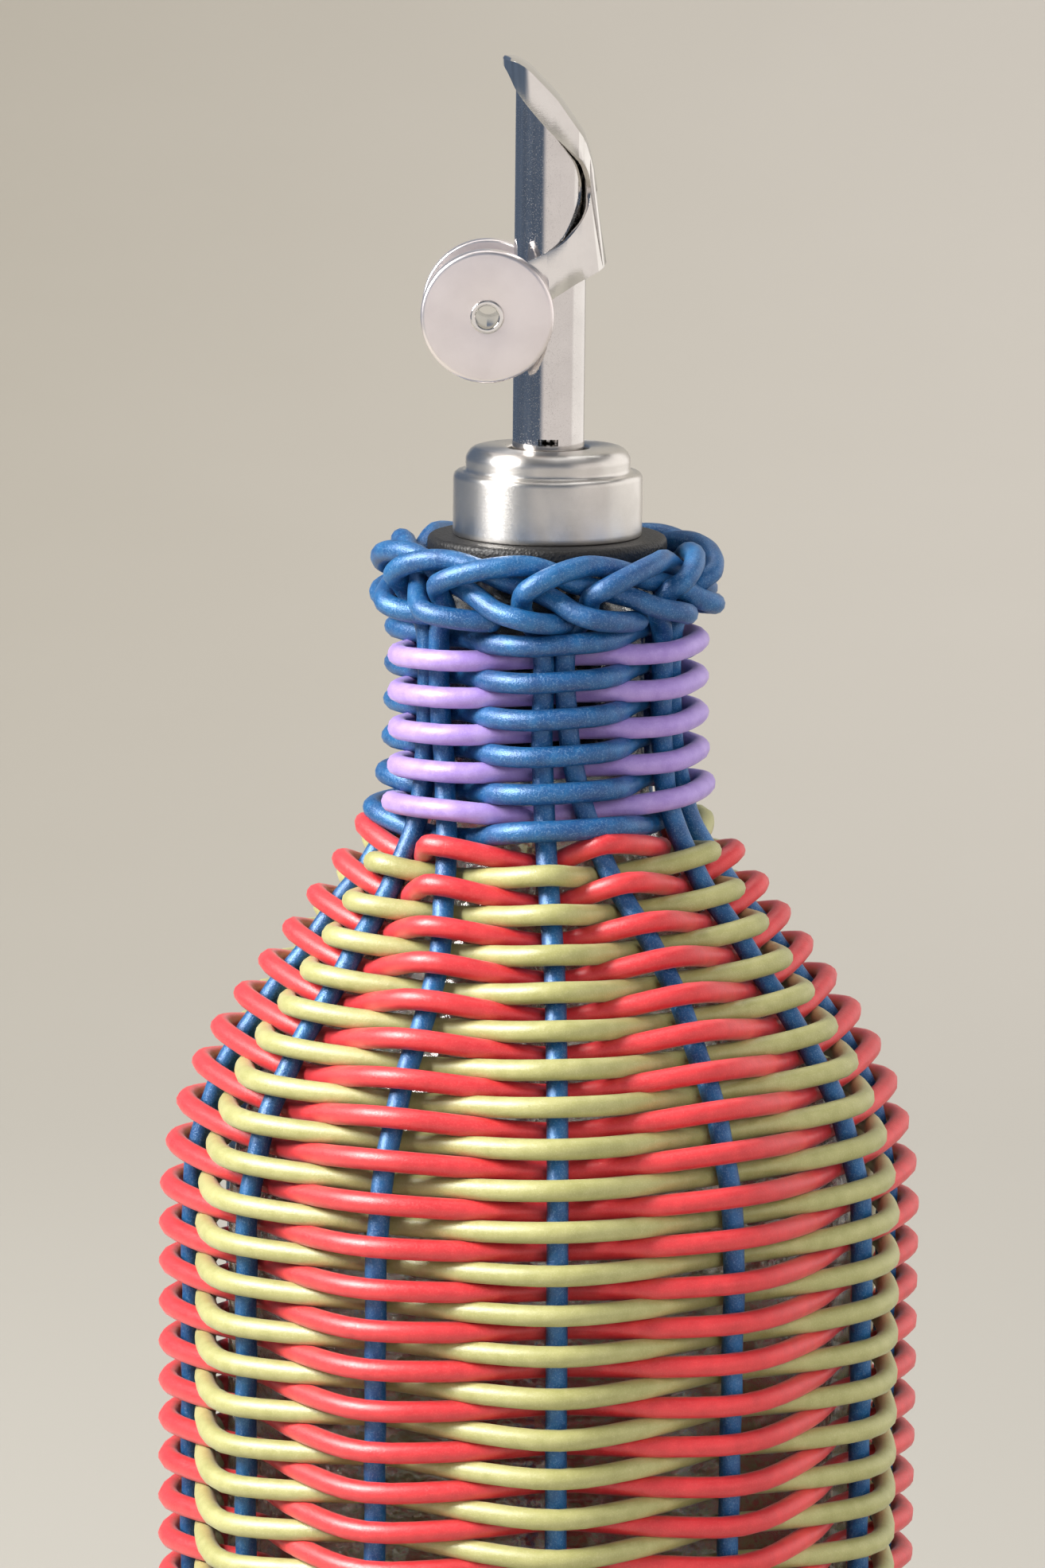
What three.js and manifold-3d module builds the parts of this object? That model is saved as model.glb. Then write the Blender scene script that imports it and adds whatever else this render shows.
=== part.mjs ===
// Oil cruet: a glass bottle in a woven cane cover, with a steel flap pourer in a rubber stopper.
// Millimetres, +Z up, the table is z = 0. The front is -Y and the pouring lip points to -X.
import * as THREE from "three";
import { mergeVertices } from "three/addons/utils/BufferGeometryUtils.js";
import Module from "manifold-3d";

const wasm = await Module();
wasm.setup();

// Cane and weave
const CANE = 2.5; // diameter of stakes and weavers
const WEAVE_GAP = 0.2; // free space between canes that cross
const STAKES = 12; // upright stakes on the body
const FIRST_STAKE = 2.3; // degrees from the front to the first stake
const BASE_CUT = 0.5; // depth the underside of the base weave is pressed flat

// Outline of the stakes, measured on their centre lines
const BODY_RADIUS = 41.2;
const HEEL_BEND = 11;
const WALL_TOP = 118; // height at which the shoulder starts
const SHOULDER_BEND = 40;
const SHOULDER_LEAN = 36.3; // degrees that the shoulder leans from upright
const NECK_BEND = 29;
const NECK_RADIUS = 15.8;
const NECK_LENGTH = 13.2; // straight neck above its bend
const RIM_FLARE = 1.1; // outward flare of the stakes below the border
const CROSS_REACH = 14; // where the crossed canes under the base have fanned out
const GATHER_LIFT = 6; // up the slope to where the stakes start to gather in pairs
const GATHER_END = 3; // up the straight neck to where they lie together
const RIM_EASE = 0.3; // below the top of the neck, where a stake leaves it

// Where each weave starts and stops, as lengths along the outline
const BASE_START = 17;
const HEEL_REACH = 6; // round the heel to the first body row
const BODY_END_BELOW_NECK = 12.5; // from the last body row up to the straight neck
const NECK_START_LIFT = 3.7; // from the end of the body rows to the neck rows
const NECK_END_GAP = 0.5; // from the last neck row to the top of the neck
const PAIR_WRAP = 3; // degrees that a weaver runs past a pair before it bends in
const SETTLE = 1.6; // how much lower a weaver lies behind a stake of the shoulder than in front of one
const SETTLE_START = 0.4; // share of the wall's height where that starts
const RED_LEAD = 2 / 3; // turns that the red weaver goes on over the olive one
const NECK_LEAD = 2; // pairs that the neck weavers pass before the front one

// Glass bottle
const GLASS_WALL = 2.25;
const GLASS_BASE = 4;
const GLASS_GAP = 0.35; // between the glass and the inner canes
const LIP_HEIGHT = 6;
const LIP_STEP = 0.9;

// Stopper
const FLANGE_OVERHANG = 1.6; // past the glass lip
const FLANGE_THICK = 3.2;
const PLUG_LENGTH = 24;
const RIB_COUNT = 4;
const RIB_DEPTH = 0.7;
const PLUG_GAP = 0.3;

// Steel cap
const CAP_RADIUS = 11.05;
const CAP_SKIRT = 7.4;
const CAP_HEIGHT = 10.4;
const CAP_STEP = 1.45;
const CAP_SHEET = 0.6;
const SEAT_GAP = 0.3;

// Pour tube
const TUBE_RADIUS = 4.2;
const TUBE_WALL = 0.5;
const TUBE_RISE = 44.3; // from the cap to the high side of the mouth
const MOUTH_SLANT = 51.4; // degrees
const VENT_WIDTH = 2.3;
const VENT_HEIGHT = 0.8;
const VENT_LIFT = 0.7;

// Breather
const BREATHER_RADIUS = 1.3;
const BREATHER_WALL = 0.4;
const BREATHER_REACH = 45; // below the plug

// Flap, heights above the cap
const SHEET = 0.7;
const FLAP_GAP = 0.35;
const PIVOT_X = -1;
const PIVOT_RISE = 18;
const PIN_RADIUS = 0.7;
const RUNNING_GAP = 0.25;
const LID_OVERHANG = 1.7; // of the lip past the tube
const LID_RISE = 1.1; // of the lid over the mouth
const LID_FRONT = -3; // where the top bends down along the mouth, across
const LID_BACK = 3.63; // where it bends down along the back
const LID_HEEL = 4; // height of that last bend
const SKIRT_DROP = 11.8; // from the top to the lower end of the skirt
const CUT_HEIGHT = 6.7; // of the round cut in the sides, below the skirt
const TAIL_LIFT = 2.6; // of the end of the tail above the pivot
const TAIL_LENGTH = 8.4;
const TAIL_FLARE = 1.5;
const TAIL_WIDTH = 6.6;

// Counterweight
const DISC_RADIUS = 7.7;
const DISC_THICK = 2.6;
const DISC_EDGE = 0.6;
const WEIGHT_ARM = 6.2; // from the pivot to the eyelet, across
const WEIGHT_DROP = 2.2; // and down
const EYELET_RADIUS = 1.6;
const EYELET_WALL = 0.25;
const EYELET_CURL = 0.35;

// Values that follow
const RAD = Math.PI / 180;
const SIDE = CANE * 0.44; // half height of a weaver along the outline
const PITCH = 4 * SIDE + 2 * WEAVE_GAP; // climb of a pair of weavers in a turn
const NECK_SIDE = CANE * 0.4; // the same on the neck, where the rows are drawn tighter
const NECK_PITCH = 4 * NECK_SIDE + 1.5 * WEAVE_GAP;
const SWING = CANE + WEAVE_GAP; // from a stake to a weaver that crosses it
const SPOKE_Z = SWING + CANE / 2 - BASE_CUT;
const STEP = 360 / STAKES;
const INSET = SWING + CANE / 2 + GLASS_GAP; // from the stakes to the glass

// Colours
const finish = (colour, roughness, metalness = 0) =>
  new THREE.MeshStandardMaterial({ color: colour, roughness, metalness });
const BLUE = finish(0x28558c, 0.4);
const RED = finish(0xdc3c41, 0.6);
const OLIVE = finish(0xb9b973, 0.6);
const PURPLE = finish(0xa57dcd, 0.6);
const GLASS = finish(0xd6e6e0, 0.05);
const RUBBER = finish(0x1c1c1e, 0.7);
const SATIN = finish(0xb4b4b4, 0.4, 1);
const POLISHED = finish(0xd0d0d2, 0.15, 1);

const cruet = new THREE.Group();

function add(name, geometry, material) {
  const mesh = new THREE.Mesh(geometry, material);
  mesh.name = name;
  cruet.add(mesh);
}

// The outline of the stakes from the middle of the base to the rim, as radius and height
const lean = SHOULDER_LEAN * RAD;
const bend = 1 - Math.cos(lean);
const shoulderEnd = new THREE.Vector2(
  BODY_RADIUS - SHOULDER_BEND * bend,
  WALL_TOP + SHOULDER_BEND * Math.sin(lean),
);
const neckBendStart = new THREE.Vector2(NECK_RADIUS + NECK_BEND * bend, 0);
neckBendStart.y = shoulderEnd.y + (shoulderEnd.x - neckBendStart.x) / Math.tan(lean);
const neckFoot = neckBendStart.y + NECK_BEND * Math.sin(lean);
const neckTop = neckFoot + NECK_LENGTH;

const outline = new THREE.Path();
outline.moveTo(0, SPOKE_Z);
outline.lineTo(BODY_RADIUS - HEEL_BEND, SPOKE_Z);
outline.absarc(BODY_RADIUS - HEEL_BEND, SPOKE_Z + HEEL_BEND, HEEL_BEND, -Math.PI / 2, 0, false);
outline.lineTo(BODY_RADIUS, WALL_TOP);
outline.absarc(BODY_RADIUS - SHOULDER_BEND, WALL_TOP, SHOULDER_BEND, 0, lean, false);
outline.lineTo(neckBendStart.x, neckBendStart.y);
outline.absarc(NECK_RADIUS + NECK_BEND, neckFoot, NECK_BEND, Math.PI + lean, Math.PI, true);
outline.lineTo(NECK_RADIUS, neckTop);

// Lengths along the outline at which its stretches start
const heelAt = BODY_RADIUS - HEEL_BEND;
const wallAt = heelAt + (HEEL_BEND * Math.PI) / 2;
const shoulderAt = wallAt + WALL_TOP - SPOKE_Z - HEEL_BEND;
const slopeAt = shoulderAt + SHOULDER_BEND * lean;
const neckBendAt = slopeAt + shoulderEnd.distanceTo(neckBendStart);
const neckAt = neckBendAt + NECK_BEND * lean;
const LENGTH = neckAt + NECK_LENGTH;

// A point of the outline and its outward normal
function section(length) {
  const t = Math.min(Math.max(length / LENGTH, 0), 1);
  const p = outline.getPoint(t);
  const ahead = outline.getPoint(Math.min(t + 0.0005, 1));
  const behind = outline.getPoint(Math.max(t - 0.0005, 0));
  const run = ahead.sub(behind).normalize();
  return { r: p.x, z: p.y, nr: run.y, nz: -run.x };
}

// Degrees are counted from the front, towards +X
function place(radius, degrees, z) {
  const a = degrees * RAD;
  return new THREE.Vector3(radius * Math.sin(a), -radius * Math.cos(a), z);
}

const smooth = (x, from, to) => THREE.MathUtils.smoothstep(x, from, to);
const mix = THREE.MathUtils.lerp;

// Stakes stand evenly on the body and gather in pairs on the neck
const pairHalf = (Math.asin((CANE + WEAVE_GAP) / 2 / NECK_RADIUS) / RAD) * 1.02;
const pairCentre = (k) => FIRST_STAKE + STEP * (k - (k % 2)) + 1;
const bodyAngle = (k) => FIRST_STAKE + STEP * k;
const neckAngle = (k) => pairCentre(k) + (k % 2 ? pairHalf : -pairHalf);
const gather = (length) => smooth(length, slopeAt + GATHER_LIFT, neckAt + GATHER_END);
function stakeAngle(k, length) {
  const turns = Math.floor(k / STAKES);
  const i = k - turns * STAKES;
  return mix(bodyAngle(i), neckAngle(i), gather(length)) + 360 * turns;
}

// A closed tube of flat sides through rings that each have a centre and a facing
function sweep(rings, sides, across, along, turn = 0) {
  const positions = [];
  const count = rings.length;
  rings.forEach(({ at, face }, i) => {
    const before = rings[Math.max(i - 1, 0)].at;
    const after = rings[Math.min(i + 1, count - 1)].at;
    const run = after.clone().sub(before).normalize();
    const b = run.clone().cross(face).normalize();
    const n = b.clone().cross(run).normalize();
    for (let j = 0; j < sides; j++) {
      const a = (2 * Math.PI * (j + turn)) / sides;
      const p = at.clone();
      p.addScaledVector(n, across * Math.cos(a));
      p.addScaledVector(b, along * Math.sin(a));
      positions.push(p.x, p.y, p.z);
    }
  });
  const index = [];
  for (let i = 0; i + 1 < count; i++)
    for (let j = 0; j < sides; j++) {
      const k = (j + 1) % sides;
      const low = i * sides;
      const high = low + sides;
      index.push(low + j, low + k, high + k, low + j, high + k, high + j);
    }
  const end = (count - 1) * sides;
  for (let j = 1; j + 1 < sides; j++) {
    index.push(0, j + 1, j);
    index.push(end, end + j, end + j + 1);
  }
  const geometry = new THREE.BufferGeometry();
  geometry.setAttribute("position", new THREE.Float32BufferAttribute(positions, 3));
  geometry.setIndex(index);
  geometry.computeVertexNormals();
  return geometry;
}

// Booleans on closed geometries
function solid(geometry) {
  const bare = new THREE.BufferGeometry();
  const source = geometry.index ? geometry.toNonIndexed() : geometry;
  bare.setAttribute("position", source.getAttribute("position"));
  const merged = mergeVertices(bare, 1e-4);
  return new wasm.Manifold(
    new wasm.Mesh({
      numProp: 3,
      vertProperties: merged.attributes.position.array,
      triVerts: new Uint32Array(merged.index.array),
    }),
  );
}

function geometryOf(body) {
  const mesh = body.getMesh();
  const geometry = new THREE.BufferGeometry();
  geometry.setAttribute("position", new THREE.BufferAttribute(mesh.vertProperties, 3));
  geometry.setIndex(new THREE.BufferAttribute(mesh.triVerts, 1));
  geometry.computeVertexNormals();
  return geometry;
}

// A ring of revolution about Z from a closed profile of [radius, z] that runs counter-clockwise
function turned(profile, segments) {
  const points = profile.map(([r, z]) => new THREE.Vector2(r, z));
  points.push(points[0].clone());
  return new THREE.LatheGeometry(points, segments).rotateX(Math.PI / 2);
}

function boxOf(x0, x1, y0, y1, z0, z1) {
  const box = new THREE.BoxGeometry(x1 - x0, y1 - y0, z1 - z0);
  return box.translate((x0 + x1) / 2, (y0 + y1) / 2, (z0 + z1) / 2);
}

// A rod along Y
function crossRod(radius, x, z, y0, y1, segments) {
  const rod = new THREE.CylinderGeometry(radius, radius, y1 - y0, segments);
  return rod.translate(x, (y0 + y1) / 2, z);
}

// A shape drawn in X and Z, as thick as from y0 to y1
function sideCut(shape, y0, y1, curveSegments = 7) {
  const options = { depth: y1 - y0, bevelEnabled: false, curveSegments };
  return new THREE.ExtrudeGeometry(shape, options).rotateX(Math.PI / 2).translate(0, y1, 0);
}

// Border: each stake runs up behind one tail, over the next, down inside and out again to the right
const riser = NECK_RADIUS + RIM_FLARE;
const BORDER_ANGLE = 12.5; // degrees from the middle of a pair to its stakes in the border
const borderBase = neckTop + CANE * 0.5;
const borderAngle = (k) => {
  const turns = Math.floor(k / STAKES);
  const i = k - turns * STAKES;
  return pairCentre(i) + (i % 2 ? BORDER_ANGLE : -BORDER_ANGLE) + 360 * turns;
};
// Steps along the border in stakes, then radius from the riser and height, both in canes
const BORDER = [
  [0, -0.06, 0.66],
  [0.02, 0.52, 1.55],
  [0.14, 1.04, 2.02],
  [0.45, 0.92, 2.6],
  [0.8, 0.5, 2.92],
  [1.1, -0.02, 2.92],
  [1.45, -0.3, 2.6],
  [1.8, -0.28, 2.12],
  [2.12, -0.27, 1.84],
  [2.5, 0.36, 1.4],
  [2.75, 0.9, 0.92],
  [3, 1.26, 0.64],
  [3.25, 1.02, 0.45],
  [3.5, 0.45, 0.32],
  [3.64, 0.1, 0.28],
];

function borderRings(k) {
  return BORDER.map(([steps, out, up]) => {
    const whole = Math.floor(steps);
    const degrees = mix(borderAngle(k + whole), borderAngle(k + whole + 1), steps - whole);
    const at = place(riser + out * CANE, degrees, borderBase + up * CANE);
    return { at, face: place(1, degrees, 0) };
  });
}

// Half of a stake, from the fan under the base up to the end of its border
function stakeRings(k) {
  const stops = [CROSS_REACH, heelAt];
  for (let i = 1; i <= 3; i++) stops.push(mix(heelAt, wallAt, i / 3));
  stops.push(mix(wallAt, shoulderAt, 0.5), shoulderAt);
  for (let i = 1; i <= 3; i++) stops.push(mix(shoulderAt, slopeAt, i / 3));
  for (let i = 1; i <= 3; i++) stops.push(mix(slopeAt, neckBendAt, i / 3));
  for (let i = 1; i <= 4; i++) stops.push(mix(neckBendAt, neckAt, i / 4));
  stops.push(mix(neckAt, LENGTH, 0.38));
  const rings = stops.map((length) => {
    const { r, z, nr, nz } = section(length);
    const degrees = stakeAngle(k, length);
    const at = place(r, degrees, z);
    return { at, face: place(nr, degrees, nz) };
  });
  const top = neckAngle(k);
  rings.push({ at: place(NECK_RADIUS, top, neckTop - RIM_EASE), face: place(1, top, 0) });
  return rings.concat(borderRings(k));
}

// Six canes cross three over three under the base, and each makes two stakes
const third = CANE + WEAVE_GAP;
const crossing = [
  [0, 6, 0, 0],
  [1, 5, 1, 0],
  [11, 7, -1, 0],
  [3, 9, 0, 1],
  [2, 10, 1, 1],
  [4, 8, -1, 1],
];
crossing.forEach(([first, last, lane, upper], i) => {
  const level = SPOKE_Z + (upper ? third / 2 : -third / 2);
  const half = third * 1.9;
  const ahead = FIRST_STAKE + (upper ? 90 : 0);
  const sideways = ahead + (upper ? -90 : 90);
  const down = new THREE.Vector3(0, 0, -1);
  const inner = [half, -half].map((reach) => {
    const at = place(reach, ahead, level).add(place(lane * third, sideways, 0));
    return { at, face: down };
  });
  const up = stakeRings(first).reverse();
  const rings = up.concat(inner, stakeRings(last));
  add(`stake_cane_${i + 1}`, sweep(rings, 4, CANE / 2, CANE / 2), BLUE);
});

// Weavers swing level, so on the sloping shoulder they lie lower in front of a stake than behind it, and they settle where they pass behind
function woven(k, length, swing, settle, wrap = 0) {
  const { nr, nz } = section(length);
  const shift = nr > 0.5 ? -(Math.max(nz, 0) * swing + (swing < 0 ? settle : 0)) / nr : 0;
  const near = section(length + shift);
  const degrees = stakeAngle(k, length + shift) + wrap;
  const at = place(near.r + near.nr * swing, degrees, near.z + near.nz * swing);
  return { at, face: place(near.nr, degrees, near.nz) };
}

// Two weavers chase each other round the stakes, one in front where the other is behind
function chase(start, turns, parity, square = false) {
  const rings = [];
  const count = Math.round(turns * STAKES);
  for (let i = 0; i <= count; i++) {
    const length = start + (PITCH * i) / STAKES + (parity ? PITCH / 2 : 0);
    const reach = SWING + WEAVE_GAP * (square ? 0.4 : 1.4 * gather(length));
    const settle = SETTLE * smooth(length, mix(wallAt, shoulderAt, SETTLE_START), slopeAt);
    rings.push(woven(i, length, (i + parity) % 2 ? reach : -reach, settle));
  }
  if (square) return sweep(rings, 4, SIDE * Math.SQRT2, SIDE * 1.28, 0.5);
  return sweep(rings, 4, CANE / 2, SIDE);
}

// Red goes in front of the odd stakes and olive in front of the even ones
const bottomHalf = boxOf(-BODY_RADIUS, BODY_RADIUS, -BODY_RADIUS, BODY_RADIUS, 0, WALL_TOP);
const pressed = (geometry) => geometryOf(solid(geometry).intersect(solid(bottomHalf)));
const bodyStart = heelAt + HEEL_REACH;
const baseTurns = (bodyStart - BASE_START) / PITCH - 0.5;
add("base_weaver_red", pressed(chase(BASE_START, baseTurns, 0, true)), RED);
add("base_weaver_olive", pressed(chase(BASE_START, baseTurns, 1, true)), OLIVE);
const bodyEnd = neckAt - BODY_END_BELOW_NECK;
const bodyTurns = Math.floor(((bodyEnd - bodyStart) / PITCH) * 2) / 2;
add("body_weaver_red", chase(bodyStart, bodyTurns + RED_LEAD, 0), RED);
add("body_weaver_olive", chase(bodyStart, bodyTurns - 1 / STAKES, 1), OLIVE);

// On the neck the weavers pass pairs of stakes
function neckChase(turns, parity) {
  const rings = [];
  const groups = STAKES / 2;
  const count = Math.round(turns * groups);
  for (let g = -NECK_LEAD; g <= count; g++)
    for (const k of [2 * g, 2 * g + 1]) {
      const climb = NECK_PITCH * (k / STAKES + (parity ? 0.5 : 0));
      const wrap = k % 2 ? PAIR_WRAP : -PAIR_WRAP;
      const swing = (g + parity) % 2 ? -SWING : SWING;
      rings.push(woven(k, bodyEnd + NECK_START_LIFT + climb, swing, 0, wrap));
    }
  return sweep(rings, 4, CANE / 2, NECK_SIDE);
}
const neckClimb = LENGTH - NECK_END_GAP - bodyEnd - NECK_START_LIFT;
const neckTurns = Math.floor((neckClimb / NECK_PITCH) * (STAKES / 2) + 1e-6) / (STAKES / 2);
add("neck_weaver_blue", neckChase(neckTurns, 0), BLUE);
add("neck_weaver_purple", neckChase(neckTurns - 0.75, 1), PURPLE);

// Glass bottle inside the weave
const lipTop = borderBase + CANE * 2.25;
const inset = (length, depth) => {
  const { r, z, nr, nz } = section(length);
  return [r - nr * depth, z - nz * depth];
};
const glassStops = [heelAt, mix(heelAt, wallAt, 0.33), mix(heelAt, wallAt, 0.67), wallAt];
glassStops.push(shoulderAt, mix(shoulderAt, slopeAt, 0.33), mix(shoulderAt, slopeAt, 0.67), slopeAt);
glassStops.push(neckBendAt, mix(neckBendAt, neckAt, 0.33), mix(neckBendAt, neckAt, 0.67), neckAt);
const neckOuter = NECK_RADIUS - INSET;
const neckBore = neckOuter - GLASS_WALL;
const glass = [[0, SPOKE_Z + INSET]];
glassStops.forEach((length) => glass.push(inset(length, INSET)));
glass.push([neckOuter, lipTop - LIP_HEIGHT - LIP_STEP]);
glass.push([neckOuter + LIP_STEP, lipTop - LIP_HEIGHT]);
glass.push([neckOuter + LIP_STEP, lipTop - 0.8]);
glass.push([neckOuter + LIP_STEP - 0.8, lipTop]);
glass.push([neckBore, lipTop]);
const innerStops = glassStops.slice(2).reverse();
innerStops.forEach((length) => glass.push(inset(length, INSET + GLASS_WALL)));
const floorEdge = BODY_RADIUS - INSET - GLASS_WALL - 4;
glass.push([floorEdge, SPOKE_Z + INSET + GLASS_BASE], [0, SPOKE_Z + INSET + GLASS_BASE]);
const glassPoints = glass.map(([r, z]) => new THREE.Vector2(r, z));
add("glass_bottle", new THREE.LatheGeometry(glassPoints, 30).rotateX(Math.PI / 2), GLASS);

// Rubber stopper: a flange on the lip, a ribbed plug in the neck and a boss in the cap
const flangeLow = lipTop;
const flangeTop = flangeLow + FLANGE_THICK;
const plugEnd = flangeLow - PLUG_LENGTH;
const plugRadius = neckBore - PLUG_GAP;
const flangeRadius = neckOuter + LIP_STEP + FLANGE_OVERHANG;
const tubeHole = TUBE_RADIUS + SEAT_GAP;
const bossRadius = CAP_RADIUS - CAP_SHEET - SEAT_GAP;
const bossTop = flangeTop + CAP_SKIRT - CAP_SHEET - SEAT_GAP;
const stopper = [[tubeHole, plugEnd], [plugRadius - 1.6, plugEnd]];
const ribPitch = (PLUG_LENGTH - 2) / RIB_COUNT;
for (let i = 0; i < RIB_COUNT; i++) {
  const z = plugEnd + ribPitch * i;
  stopper.push([plugRadius - RIB_DEPTH, z + ribPitch * 0.25]);
  stopper.push([plugRadius, z + ribPitch * 0.85]);
  stopper.push([plugRadius - RIB_DEPTH, z + ribPitch]);
}
stopper.push([plugRadius - RIB_DEPTH, flangeLow]);
stopper.push([flangeRadius - 1.1, flangeLow]);
stopper.push([flangeRadius, flangeLow + 1.2]);
stopper.push([flangeRadius, flangeTop - 0.6]);
stopper.push([flangeRadius - 0.6, flangeTop]);
stopper.push([bossRadius, flangeTop]);
stopper.push([bossRadius, bossTop]);
stopper.push([tubeHole, bossTop]);
add("rubber_stopper", turned(stopper, 26), RUBBER);

// Steel cap, pressed from sheet: a skirt, a step and a domed top with the tube through it
const capTop = flangeTop + CAP_HEIGHT;
const domeRadius = CAP_RADIUS - CAP_STEP;
const cap = [
  [CAP_RADIUS, flangeTop],
  [CAP_RADIUS, flangeTop + CAP_SKIRT - 0.7],
  [CAP_RADIUS - 0.25, flangeTop + CAP_SKIRT - 0.15],
  [CAP_RADIUS - 0.8, flangeTop + CAP_SKIRT + 0.1],
  [domeRadius, flangeTop + CAP_SKIRT + 0.15],
  [domeRadius, flangeTop + CAP_SKIRT + 0.9],
  [domeRadius - 0.5, capTop - 0.8],
  [domeRadius - 1.4, capTop - 0.15],
  [domeRadius - 2.2, capTop],
  [tubeHole, capTop - 0.1],
  [tubeHole, capTop - 0.1 - CAP_SHEET],
  [domeRadius - 2.2, capTop - CAP_SHEET],
  [domeRadius - 1.3 * CAP_SHEET - 0.6, capTop - 1 - CAP_SHEET],
  [domeRadius - CAP_SHEET, flangeTop + CAP_SKIRT - CAP_SHEET + 0.15],
  [CAP_RADIUS - CAP_SHEET, flangeTop + CAP_SKIRT - CAP_SHEET],
  [CAP_RADIUS - CAP_SHEET, flangeTop],
];
add("steel_cap", turned(cap, 30), SATIN);

// Pour tube, cut on a slant at the mouth, with a vent slot at its foot and a hole for the pin
const tubeTop = capTop + TUBE_RISE;
const tubeBore = TUBE_RADIUS - TUBE_WALL;
const pivotZ = capTop + PIVOT_RISE;
const tubeWallProfile = [
  [tubeBore, plugEnd],
  [TUBE_RADIUS, plugEnd],
  [TUBE_RADIUS, tubeTop + 2],
  [tubeBore, tubeTop + 2],
];
let tube = solid(turned(tubeWallProfile, 28));
const slant = new THREE.Shape();
const fall = Math.tan(MOUTH_SLANT * RAD);
slant.moveTo(-TUBE_RADIUS - 1, tubeTop + fall);
slant.lineTo(TUBE_RADIUS + 1, tubeTop - fall * (2 * TUBE_RADIUS + 1));
slant.lineTo(TUBE_RADIUS + 1, tubeTop + 9);
slant.lineTo(-TUBE_RADIUS - 1, tubeTop + 9);
tube = tube.subtract(solid(sideCut(slant, -TUBE_RADIUS - 1, TUBE_RADIUS + 1)));
const holeRadius = PIN_RADIUS + RUNNING_GAP;
tube = tube.subtract(solid(crossRod(holeRadius, PIVOT_X, pivotZ, -TUBE_RADIUS - 1, TUBE_RADIUS + 1, 16)));
const ventLow = capTop + VENT_LIFT;
const vent = boxOf(-VENT_WIDTH / 2, VENT_WIDTH / 2, -TUBE_RADIUS - 1, -1, ventLow, ventLow + VENT_HEIGHT);
tube = tube.subtract(solid(vent));
add("pour_tube", geometryOf(tube), POLISHED);

// Breather: a thin closed tube behind the vent, open at its side and at its lower end
const breatherY = -(tubeBore - BREATHER_RADIUS - SEAT_GAP);
const breatherTop = ventLow + VENT_HEIGHT + 1.2;
const breatherEnd = plugEnd - BREATHER_REACH;
const breatherProfile = [
  [BREATHER_RADIUS - BREATHER_WALL, breatherEnd],
  [BREATHER_RADIUS, breatherEnd],
  [BREATHER_RADIUS, breatherTop],
  [0, breatherTop],
  [0, breatherTop - BREATHER_WALL],
  [BREATHER_RADIUS - BREATHER_WALL, breatherTop - BREATHER_WALL],
];
let breather = solid(turned(breatherProfile, 14).translate(0, breatherY, 0));
const window = boxOf(-0.7, 0.7, breatherY - 2, breatherY - 0.6, ventLow, ventLow + VENT_HEIGHT);
breather = breather.subtract(solid(window));
add("breather_tube", geometryOf(breather), POLISHED);

// Flap: a lid over the slanted mouth, a back round the tube, a tail and two arms, bent from one sheet
const inside = TUBE_RADIUS + FLAP_GAP;
const outside = inside + SHEET;
const weightX = PIVOT_X - WEIGHT_ARM;
const weightZ = pivotZ - WEIGHT_DROP;
const lipX = -TUBE_RADIUS - LID_OVERHANG;
const lidBend = tubeTop + LID_RISE;
const lidFall = Math.tan(MOUTH_SLANT * RAD);
const lidEnd = lidBend - lidFall * (LID_BACK - LID_FRONT);
const skirtEnd = lidBend - SKIRT_DROP;

// What is seen from the front: lid edge, cut out, arm, pad round the eyelet, tail
const view = new THREE.Shape();
view.moveTo(lipX, lidBend - 0.5);
view.lineTo(lipX + SHEET, lidBend - 0.9);
view.lineTo(-TUBE_RADIUS - 0.6, lidBend - SKIRT_DROP * 0.2);
view.lineTo(-1.6, lidBend - SKIRT_DROP * 0.53);
view.lineTo(outside - 1.85, skirtEnd);
view.quadraticCurveTo(outside + 0.15, skirtEnd - CUT_HEIGHT * 0.48, outside - 1.65, skirtEnd - CUT_HEIGHT);
view.quadraticCurveTo(1.8, skirtEnd - CUT_HEIGHT * 1.43, -2.8, weightZ + DISC_RADIUS - 1.1);
const padRadius = EYELET_RADIUS + 2.4;
view.absarc(weightX, weightZ, padRadius, 60 * RAD, 285 * RAD, false);
view.lineTo(PIVOT_X + 2, pivotZ - 1);
view.lineTo(3.8, pivotZ + 2);
view.lineTo(4, pivotZ + TAIL_LIFT);
view.lineTo(outside + TAIL_FLARE + 2, pivotZ + TAIL_LIFT);
view.lineTo(outside + TAIL_FLARE + 2, lidEnd - LID_HEEL);
view.lineTo(outside + 0.1, lidEnd - LID_HEEL);
view.lineTo(LID_BACK, lidEnd);
view.lineTo(LID_FRONT, lidBend);
view.lineTo(lipX, lidBend + 0.5);

// The lid from above: a round back and a rounded lip
function lidPlan(w, lip) {
  const plan = new THREE.Shape();
  plan.absarc(0, 0, w, -Math.PI / 2, Math.PI / 2, false);
  plan.lineTo(-2.4, w);
  plan.quadraticCurveTo(lip, w, lip, 0);
  plan.quadraticCurveTo(lip, -w, -2.4, -w);
  plan.lineTo(0, -w);
  return plan;
}
const tall = { depth: tubeTop + 10 - capTop, bevelEnabled: false, curveSegments: 7 };
const prism = (plan) => solid(new THREE.ExtrudeGeometry(plan, tall).translate(0, 0, capTop));
const lidOuter = prism(lidPlan(outside, lipX));
const lidInner = prism(lidPlan(inside, lipX + SHEET));
const seen = solid(sideCut(view, -outside - 3, outside + 3));

// The skirt of the lid and the back of the flap
const back = boxOf(lipX - 3, outside + 3, -outside - 1, outside + 1, lidEnd - 9, tubeTop + 9);
let flap = lidOuter.subtract(lidInner).intersect(solid(back)).intersect(seen);

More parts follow.
